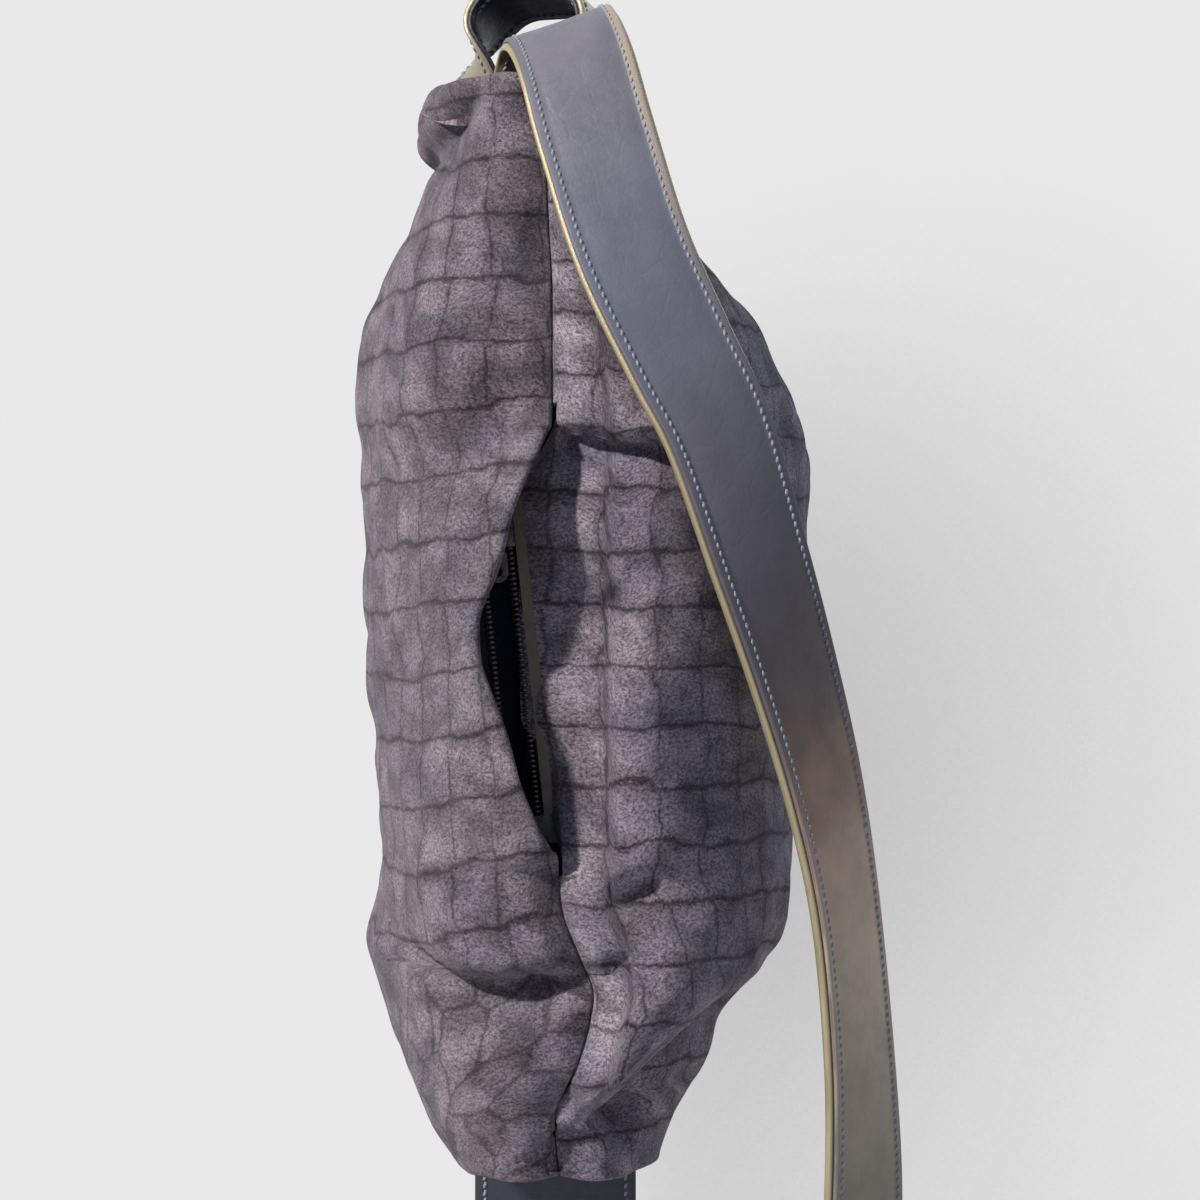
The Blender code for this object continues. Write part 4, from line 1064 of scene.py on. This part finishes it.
def stitches(name, lines):
    """Rows of stitches. Each line is a list of places, directions and ways out."""
    shape = bmesh.new()
    for line in lines:
        travelled = 0.0
        wanted = STITCH_PITCH / 2
        for (place, along, out), (after, next_along, next_out) in zip(line, line[1:]):
            gap = (after - place).length
            while travelled + gap >= wanted:
                share = (wanted - travelled) / gap
                way = along.lerp(next_along, share).normalized()
                up = out.lerp(next_out, share).normalized()
                add_stitch(shape, place.lerp(after, share), way, up)
                wanted += STITCH_PITCH
            travelled += gap
    return mesh_piece(name, shape, THREAD)


def stitch_lines(stations, width, height, facing_out=1):
    """The two stitch lines that run along a ribbon's face, or along its back."""
    return [
        [(p + across * side * (width / 2 - STITCH_INSET) + facing * height, along, facing * facing_out)
         for p, along, across, facing in stations]
        for side in (1, -1)
    ]


# Straps. Their routes are the CAD model's: shares of the distance to the side, to the back and
# down, then the quarter turns that the face has tipped over, and turned to the back
STRAP_WIDTH = 0.038
FACE_INSET = 0.001
FACE_THICKNESS = 0.0014
FACE_ROUNDING = 0.0007
BACK_THICKNESS = 0.0028
BACK_ROUNDING = 0.0011
LAYER_GAP = 0.0006
BAND = FACE_THICKNESS + LAYER_GAP + BACK_THICKNESS
ROUTE_STEPS = 10
NEAR_STRAP = (0.144, 0.1055, 0.503)
NEAR_STRAP_SHARES = (
    (0.514, 0.01, 0.085, -1, 0), (0.521, 0.013, 0.062, -0.75, 0),
    (0.57, 0.03, 0.0405, 0, 0), (0.688, 0.066, 0.044, 0.6, 0),
    (0.8, 0.12, 0.074, 0.9, 0.02), (0.872, 0.185, 0.124, 1, 0.05),
    (0.955, 0.29, 0.196, 1, 0.12), (0.99, 0.43, 0.261, 1, 0.21),
    (0.99, 0.545, 0.31, 1, 0.28), (0.945, 0.66, 0.383, 1, 0.38),
    (0.878, 0.77, 0.456, 1, 0.48), (0.822, 0.87, 0.533, 1, 0.56),
    (0.78, 0.94, 0.611, 1, 0.62), (0.75, 0.985, 0.706, 1, 0.61),
    (0.73, 1, 0.79, 1, 0.55), (0.71, 0.985, 0.85, 1.05, 0.52),
    (0.672, 0.925, 0.908, 1.25, 0.5), (0.58, 0.78, 0.97, 1.65, 0.5),
    (0.43, 0.54, 1, 2, 0.46), (0.27, 0.28, 0.975, 2.35, 0.34),
    (0.145, 0.11, 0.93, 2.65, 0.18), (0.06, 0.058, 0.8902, 2.85, 0.05),
    (0.0215, 0.05, 0.8562, 2.99, 0), (0.0205, 0.047, 0.8282, 3, 0),
)
FAR_STRAP = (-0.16, 0.01, 0.528)
FAR_STRAP_SHARES = (
    (0.463, 0.1, 0.081, -1, 0), (0.468, 0.15, 0.059, -0.75, 0),
    (0.509, 0.3, 0.0385, 0, 0), (0.612, 0.5, 0.0415, 0.6, 0),
    (0.7, 0.68, 0.07, 0.9, 0), (0.764, 0.75, 0.118, 1, 0),
    (0.856, 0.85, 0.187, 1, 0), (0.925, 0.95, 0.249, 1, 0),
    (0.975, 1, 0.31, 1, 0), (1, 1, 0.39, 1, 0),
    (1, 1, 0.47, 1, 0), (1, 1, 0.57, 1, 0),
    (0.99, 1, 0.67, 1, 0), (0.965, 1, 0.76, 1, 0),
    (0.925, 0.95, 0.84, 1.1, 0), (0.845, 0.9, 0.92, 1.35, 0),
    (0.68, 0.8, 0.98, 1.75, 0), (0.48, 0.7, 1, 2.05, 0),
    (0.29, 0.6, 0.96, 2.4, 0), (0.16, 0.52, 0.906, 2.65, 0),
    (0.062, 0.5, 0.8589, 2.85, 0), (0.0194, 0.5, 0.8179, 2.99, 0),
    (0.0185, 0.5, 0.789, 3, 0),
)
# How the near strap's top leans over the rim: from which place forward, how far it drops and
# moves back for each metre forward, and between which heights
SHOULDER_BACK_EDGE = 0.0215
SHOULDER_LEAN = 0.22
SHOULDER_DRAW = 0.1
SHOULDER_SPAN = (-0.06, -0.015)


def strap_stations(shares, side, back, drop):
    """Point, direction along, direction across and face direction all along a strap."""
    fine = smooth_route(shares, ROUTE_STEPS)
    sign = 1 if side > 0 else -1
    points = [Vector((side * r[0], back * r[1], -drop * r[2])) for r in fine]
    stations = []
    for index, point in enumerate(points):
        along = (points[min(index + 1, len(points) - 1)] - points[max(index - 1, 0)]).normalized()
        tilt = fine[index][3] * math.pi / 2
        turn = fine[index][4] * math.pi / 2
        side_way = Vector((math.cos(turn) * sign, math.sin(turn), 0))
        facing = side_way * math.sin(tilt) + Vector((0, 0, 1)) * math.cos(tilt)
        across = along.cross(facing).normalized()
        stations.append((point, along, across, across.cross(along)))
    return stations


def lean_shoulder(piece):
    """The near strap's top leans down towards the front, where it folds over the rim."""
    for vertex in piece.data.vertices:
        ahead = max(SHOULDER_BACK_EDGE - vertex.co.y, 0) * smooth(vertex.co.z, *SHOULDER_SPAN)
        vertex.co.z -= SHOULDER_LEAN * ahead
        vertex.co.y += SHOULDER_DRAW * ahead


def make_strap(body, shares, reaches):
    """A shoulder strap in two lengths, each with its face, lining and stitches, in place of the CAD strap.
    """
    stations = strap_stations(shares, *reaches)
    middle = len(stations) // 2
    low = -BAND / 2
    seam = low + BACK_THICKNESS
    face_width = STRAP_WIDTH - 2 * FACE_INSET
    face_low = seam + LAYER_GAP / 3
    face = ribbon_corners(face_width, face_low, BAND / 2, FACE_ROUNDING, grooves=True)
    back = ribbon_corners(STRAP_WIDTH, low, seam + LAYER_GAP / 4, BACK_ROUNDING)
    sign = 1 if reaches[0] > 0 else -1
    length = sum((b[0] - a[0]).length for a, b in zip(stations[:middle], stations[1:middle + 1]))
    for word, run, start_length in (
        ("upper", stations[:middle + 1], 0.0),
        ("lower", stations[middle:], length),
    ):
        upper = word == "upper"
        caps = (upper, not upper)
        front_lines = stitch_lines(run, STRAP_WIDTH, BAND / 2 - PRESS_DEPTH)
        pieces = [
            ribbon(f"{body}_{word}_face", run, face, STRAP_LEATHER, start_length, caps),
            ribbon(f"{body}_{word}_back", run, back, STRAP_GOLD, start_length, caps),
            stitches(f"{body}_{word}_stitches", front_lines),
            stitches(f"{body}_{word}_back_stitches", stitch_lines(run, STRAP_WIDTH, low, -1)),
        ]
        if upper:
            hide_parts(f"{body}_shoulder_face", f"{body}_face")
            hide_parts(f"{body}_shoulder_lining", f"{body}_lining")
        else:
            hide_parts(f"{body}_sewn_end")
        for piece, slot in zip(pieces, ("navy_leather", "gold_leather") * 2):
            if upper and sign > 0:
                lean_shoulder(piece)
            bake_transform(piece)


# The carry loop's front leg twists and its crown leans over, each growing between two heights
LOOP_WIDTH = 0.034
LOOP_HALF_SPAN = 0.0195
LOOP_CORNER = 0.013
LOOP_YAW = math.radians(22)
LOOP_TWIST = math.radians(52)
LOOP_TWIST_SPAN = (-0.006, -0.03)
LOOP_FOOT_SHIFT = 0.0045
LOOP_LEAN = math.radians(12)
LOOP_LEAN_SPAN = (-0.02, -0.005)
LOOP_OUTER = 0.0018
LOOP_OUTER_ROUNDING = 0.0007
LOOP_LINING = 0.0014
LOOP_LINING_ROUNDING = 0.0005
SEAM_PROUD = 0.0001
LOOP_PROUD = 0.0003
LOOP_SINK = 0.0002
LEG_STEPS = 8
TURN_STEPS = 14


def make_carry_loop():
    """The carry loop: gold leather outside, navy leather on the hand's side."""
    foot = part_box("carry_loop_lining")[0].z
    leg = -LOOP_CORNER - foot
    inner = [(-LOOP_HALF_SPAN, foot + leg * step / LEG_STEPS) for step in range(LEG_STEPS)]
    for step in range(TURN_STEPS + 1):
        turn = math.pi / 2 * step / TURN_STEPS
        inner.append((
            -LOOP_HALF_SPAN + LOOP_CORNER * (1 - math.cos(turn)),
            -LOOP_CORNER + LOOP_CORNER * math.sin(turn),
        ))
    inner += [(-across, up) for across, up in reversed(inner)]
    yaw = Matrix.Rotation(-LOOP_YAW, 3, "Z")
    stations = []
    for index, (reach, up) in enumerate(inner):
        before = inner[max(index - 1, 0)]
        after = inner[min(index + 1, len(inner) - 1)]
        along = (yaw @ Vector((0, after[0] - before[0], after[1] - before[1]))).normalized()
        turned = smooth(up, *LOOP_TWIST_SPAN) if reach < 0 else 0
        way = Matrix.Rotation(LOOP_TWIST * turned, 3, "Z") @ (yaw @ Vector((1, 0, 0)))
        way.z += math.tan(LOOP_LEAN) * smooth(up, *LOOP_LEAN_SPAN)
        place = yaw @ Vector((0, reach - LOOP_FOOT_SHIFT * turned, up))
        way = (way - along * way.dot(along)).normalized()
        stations.append((place, along, way, way.cross(along)))
    seam = LOOP_LINING + SEAM_PROUD
    top = LOOP_LINING + LOOP_PROUD + LOOP_OUTER
    lining = ribbon_corners(LOOP_WIDTH, 0, seam, LOOP_LINING_ROUNDING)
    outer = ribbon_corners(LOOP_WIDTH, seam, top, LOOP_OUTER_ROUNDING, grooves=True)
    outer_lines = stitch_lines(stations, LOOP_WIDTH, top - LOOP_SINK)
    settle(ribbon("loop_inside", stations, lining, NAVY_LEATHER), "navy_leather", "carry_loop_lining")
    settle(ribbon("loop_outside", stations, outer, GOLD_LEATHER), "gold_leather", "carry_loop_outer")
    settle(stitches("loop_stitches", outer_lines), "gold_leather")
    settle(stitches("loop_inside_stitches", stitch_lines(stations, LOOP_WIDTH, 0, -1)), "navy_leather")


# Tabs: the rounding of their edges, and how far in from the edges their stitches run
TAB_ROUNDING = 0.0008
TAB_SEAM_Y = 0.0035
TAB_SEAM_Z = 0.004
MOUTH_ROUNDING = 0.0005
MOUTH_SEAM = 0.0028
MOUTH_SINK = 0.0006


def plate(name, node, radius):
    """A leather sheet with rounded edges in place of a node. Its two corners are returned."""
    low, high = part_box(node)
    shape = bmesh.new()
    bmesh.ops.create_cube(shape, size=1)
    bmesh.ops.scale(shape, vec=high - low, verts=shape.verts)
    bmesh.ops.translate(shape, vec=(low + high) / 2, verts=shape.verts)
    bmesh.ops.bevel(shape, geom=shape.edges, offset=radius, segments=3, profile=0.5, affect="EDGES")
    settle(mesh_piece(name, shape, NAVY_LEATHER), "navy_leather", node)
    return low, high


def sew(name, seams, out):
    """Stitch a sheet along straight seams, each between two places."""
    lines = []
    for start, end in seams:
        way = (end - start).normalized()
        lines.append([(start, way, out), (end, way, out)])
    settle(stitches(name, lines), "navy_leather")


def make_tabs():
    """The tab under the base and the tabs at the mouth zip's ends, each with its stitching."""
    for side, word in ((1, "near"), (-1, "far")):
        low, high = plate(f"tab_{word}", f"base_tab_{word}_layer", TAB_ROUNDING)
        x = high.x if side > 0 else low.x
        z = low.z + TAB_SEAM_Z
        ys = (low.y + TAB_SEAM_Y, high.y - TAB_SEAM_Y)
        seams = [[Vector((x, y, high.z)), Vector((x, y, z))] for y in ys]
        seams.append([Vector((x, y, z)) for y in ys])
        sew(f"tab_{word}_stitches", seams, Vector((side, 0, 0)))

        low, high = plate(f"mouth_tab_{word}", f"mouth_zip_{word}_tab", MOUTH_ROUNDING)
        xs = (low.x + MOUTH_SEAM, high.x - MOUTH_SEAM)
        ys = (low.y + MOUTH_SEAM, high.y - MOUTH_SEAM)
        z = high.z - MOUTH_SINK
        places = [Vector((xs[a], ys[b], z)) for a, b in ((0, 0), (1, 0), (1, 1), (0, 1))]
        sew(f"mouth_tab_{word}_stitches", zip(places, places[1:] + places[:1]), Vector((0, 0, 1)))


# Zips. A loop of coil is an outline across and up from the tape's edge, drawn with a round wire
COIL_PITCH = 0.0016
COIL_RADIUS = 0.00055
COIL_START = 0.003
COIL_LOOP = (
    (0.0006, 0), (0.0008, 0.0008), (0.0022, 0.0009),
    (0.0026, 0), (0.0022, -0.0009), (0.0008, -0.0008),
)
SIDE_ZIP_LENGTH = 0.0996


def make_coils(word, sides, centre, along, across, out, length):
    """A zip's two rows of nylon coil, with their heads towards the slot."""
    count = int(length / COIL_PITCH)
    for way, side in zip((-across, across), sides):
        shape = bmesh.new()
        for index in range(count):
            middle = centre + along * (length / count * (index + 0.5) - length / 2)
            points = [middle + way * (COIL_START + reach) + out * up for reach, up in COIL_LOOP]
            rings = []
            for step, point in enumerate(points):
                run = (points[(step + 1) % len(points)] - points[step - 1]).normalized()
                rings.append(circle(shape, point, along, run.cross(along).normalized(), COIL_RADIUS))
            bridge(shape, rings + rings[:1])
        bmesh.ops.recalc_face_normals(shape, faces=shape.faces)
        piece = mesh_piece(f"{word}_coil_{side}", shape, COIL)
        settle(piece, "zip_teeth", f"{word}_zip_{side}_teeth")


def make_zips():
    """Both zips' coils."""
    x, y, z = Vector((1, 0, 0)), Vector((0, 1, 0)), Vector((0, 0, 1))
    low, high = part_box("mouth_zip_front_teeth")
    centre = Vector((0, 0, (low.z + high.z) / 2))
    make_coils("mouth", ("front", "back"), centre, x, y, z, high.x - low.x)
    low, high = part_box("side_zip_front_teeth")
    rear_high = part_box("side_zip_rear_teeth")[1]
    centre = Vector(((low.x + high.x) / 2, (low.y + rear_high.y) / 2, (low.z + rear_high.z) / 2))
    along = Vector((0, -math.sin(SIDE_ZIP_SLANT), math.cos(SIDE_ZIP_SLANT)))
    make_coils("side", ("front", "rear"), centre, along, x.cross(along), x, SIDE_ZIP_LENGTH)


# The pouch's rows stop short of the pouch's end, and the last of them draw in
POUCH_INSET = 0.0009
POUCH_DRAW_IN = 0.004
DRAW_IN_SHARES = (0.6, 1)
POUCH_WAVE = (0.0006, 90)
POUCH_STEPS = 24
POUCH_ROWS = 12


def make_pouch():
    """The side pocket's pouch: a flat cloth bag behind the zip, open towards it."""
    low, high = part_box("side_pocket_pouch")
    corners = ((low.y, low.z), (high.y, low.z), (high.y, high.z), (low.y, high.z))
    rows = []
    for row in range(POUCH_ROWS + 1):
        depth = row / POUCH_ROWS
        x = high.x - (high.x - low.x - POUCH_INSET) * depth
        shrink = POUCH_INSET + POUCH_DRAW_IN * smooth(depth, *DRAW_IN_SHARES)
        line = []
        for step in range(4 * POUCH_STEPS):
            side, share = divmod(step, POUCH_STEPS)
            share /= POUCH_STEPS
            y, z = [a + (b - a) * share for a, b in zip(corners[side], corners[(side + 1) % 4])]
            y += (-1 if y > (low.y + high.y) / 2 else 1) * shrink
            z += (-1 if z > (low.z + high.z) / 2 else 1) * shrink
            z += POUCH_WAVE[0] * noise.noise(Vector((x, y, z)) * POUCH_WAVE[1])
            line.append(Vector((x, y, z)))
        rows.append(line)
    piece = surface_piece("pocket_pouch", rows, LINING, around=True, outward=False, cap="last")
    settle(piece, "lining_cloth", "side_pocket_pouch")


def dress_frame():
    """Give the CAD pieces that stay in sight their materials."""
    looks = {
        NAVY_LEATHER: ("mouth_front_gusset", "mouth_back_gusset", "side_pocket_facing"),
        TAN_LEATHER: ("side_pocket_welt",),
        TAPE: ("mouth_zip_front_tape", "mouth_zip_back_tape", "side_zip_front_tape", "side_zip_rear_tape"),
        BRASS: ("mouth_zip_slider", "mouth_zip_pull"),
        DARK_METAL: ("side_zip_slider", "side_zip_pull"),
        BOARD: ("base_board",),
    }
    for material, names in looks.items():
        for name in names:
            nodes[name].data.materials.clear()
            nodes[name].data.materials.append(material)


# The stage: a wall and a world of one pale tone, a floor, and lamps with place, size, power, colour
BACKGROUND = 0.815
BACKDROP_X = -0.215
BACKDROP_CORNERS = ((-0.8, -0.75), (0.8, -0.75), (0.8, 0.45), (-0.8, 0.45))
SHADOW_WAY = (0.62, -0.7, 0.35)
SHADOW_REACH = 0.42
SHADOW_SPAN = (0.25, 0.82)
SHADOW_TONE = 0.1
FLOOR_RADIUS = 1.15
FLOOR_DROP = 0.22
FLOOR_TONES = ((0.68, 0.68, 0.68), (0.72, 0.72, 0.72))
SKY = (0.62, 0.77, 1.0)
SKY_STRENGTH = 0.25
LAMP_TARGET = Vector((0.05, 0, -0.22))
LAMPS = (
    ("sun", (2.07, -2.22, 1.77), 0.24, 190, (1.0, 0.95, 0.9)),
    ("rim", (-1.1, 1.1, 0.9), 1.2, 14, (0.9, 0.95, 1.0)),
)


def make_backdrop():
    """A pale wall behind the bag, seen only from in front, with the bag's soft shadow."""
    shape = bmesh.new()
    shape.faces.new([shape.verts.new((BACKDROP_X, y, z)) for y, z in BACKDROP_CORNERS])
    s = Shader("backdrop")
    way = s.vector("NORMALIZE", s.node("CombineXYZ", dict(enumerate(SHADOW_WAY))).outputs[0])
    shade = s.node("AmbientOcclusion", {"Distance": SHADOW_REACH, "Normal": way}, samples=16)
    level = s.between(shade.outputs["AO"], *SHADOW_SPAN, SHADOW_TONE, BACKGROUND, smooth=False)
    glow = s.node("Emission", {"Color": (1, 1, 1, 1), "Strength": level})
    from_front = s.less(1.0, s.node("NewGeometry").outputs["Backfacing"])
    seen = s.times(s.seen_rays(), from_front)
    s.mix_out(seen, s.node("BsdfTransparent"), glow, "Material Output")
    mesh_piece("backdrop", shape, s.material)


def make_floor():
    """A pale floor well below the bag. The camera sees through it from below."""
    shape = bmesh.new()
    bmesh.ops.create_circle(shape, cap_ends=True, segments=96, radius=FLOOR_RADIUS)
    s = Shader("floor")
    speck = s.between(s.noise(s.place(), 60.0, 3.0), 0.3, 0.7)
    s.finish(colour=s.mix(speck, *(tint(tone) for tone in FLOOR_TONES)), roughness=0.9)
    to_camera = s.node("LightPath").outputs["Is Camera Ray"]
    below = s.times(to_camera, s.node("NewGeometry").outputs["Backfacing"])
    s.mix_out(below, s.surface, s.node("BsdfTransparent"), "Material Output")
    piece = mesh_piece("floor", shape, s.material)
    piece.location.z = cad_box[0].z - FLOOR_DROP


def make_light():
    """Soft light all round, a hard lamp for the sun and a soft one behind the bag."""
    world = bpy.data.worlds.new("studio")
    bpy.context.scene.world = world
    world.use_nodes = True
    sky = Graph(world.node_tree)
    fill = sky.tree.nodes["Background"]
    sky.plug(tint(SKY), fill.inputs["Color"])
    sky.plug(SKY_STRENGTH, fill.inputs["Strength"])
    seen = sky.node("Background", {"Color": tint((BACKGROUND, BACKGROUND, BACKGROUND))})
    sky.mix_out(sky.seen_rays(), fill, seen, "World Output")

    for name, place, size, power, colour in LAMPS:
        lamp = bpy.data.objects.new(name, bpy.data.lights.new(name, "AREA"))
        lamp.data.size = size
        lamp.data.energy = power
        lamp.data.color = colour
        lamp.location = place
        lamp.rotation_euler = (Vector(place) - LAMP_TARGET).to_track_quat("Z", "Y").to_euler()
        bpy.context.scene.collection.objects.link(lamp)


# The camera stands where the photograph was taken: square to the near side
CAMERA_DISTANCE = 1.3
VIEW_WIDTH = 0.42
VIEW_CENTRE = (0.0205, -0.209)


def make_camera():
    camera = bpy.data.objects.new("camera", bpy.data.cameras.new("camera"))
    camera.location = (CAMERA_DISTANCE, *VIEW_CENTRE)
    camera.rotation_euler = (math.pi / 2, 0, math.pi / 2)
    camera.data.lens = camera.data.sensor_width * CAMERA_DISTANCE / VIEW_WIDTH
    bpy.context.scene.collection.objects.link(camera)
    bpy.context.scene.camera = camera
    bpy.context.scene.view_settings.view_transform = "Standard"


make_camera()
panel("front_suede", False, FRONT_SUEDE, "front_panel")
panel("back_suede", True, BACK_SUEDE, "back_panel")
make_base()
make_lining()
make_pouch()
make_zips()
make_carry_loop()
make_tabs()
make_strap("near_strap", NEAR_STRAP_SHARES, NEAR_STRAP)
make_strap("far_strap", FAR_STRAP_SHARES, FAR_STRAP)
dress_frame()
make_backdrop()
make_floor()
make_light()
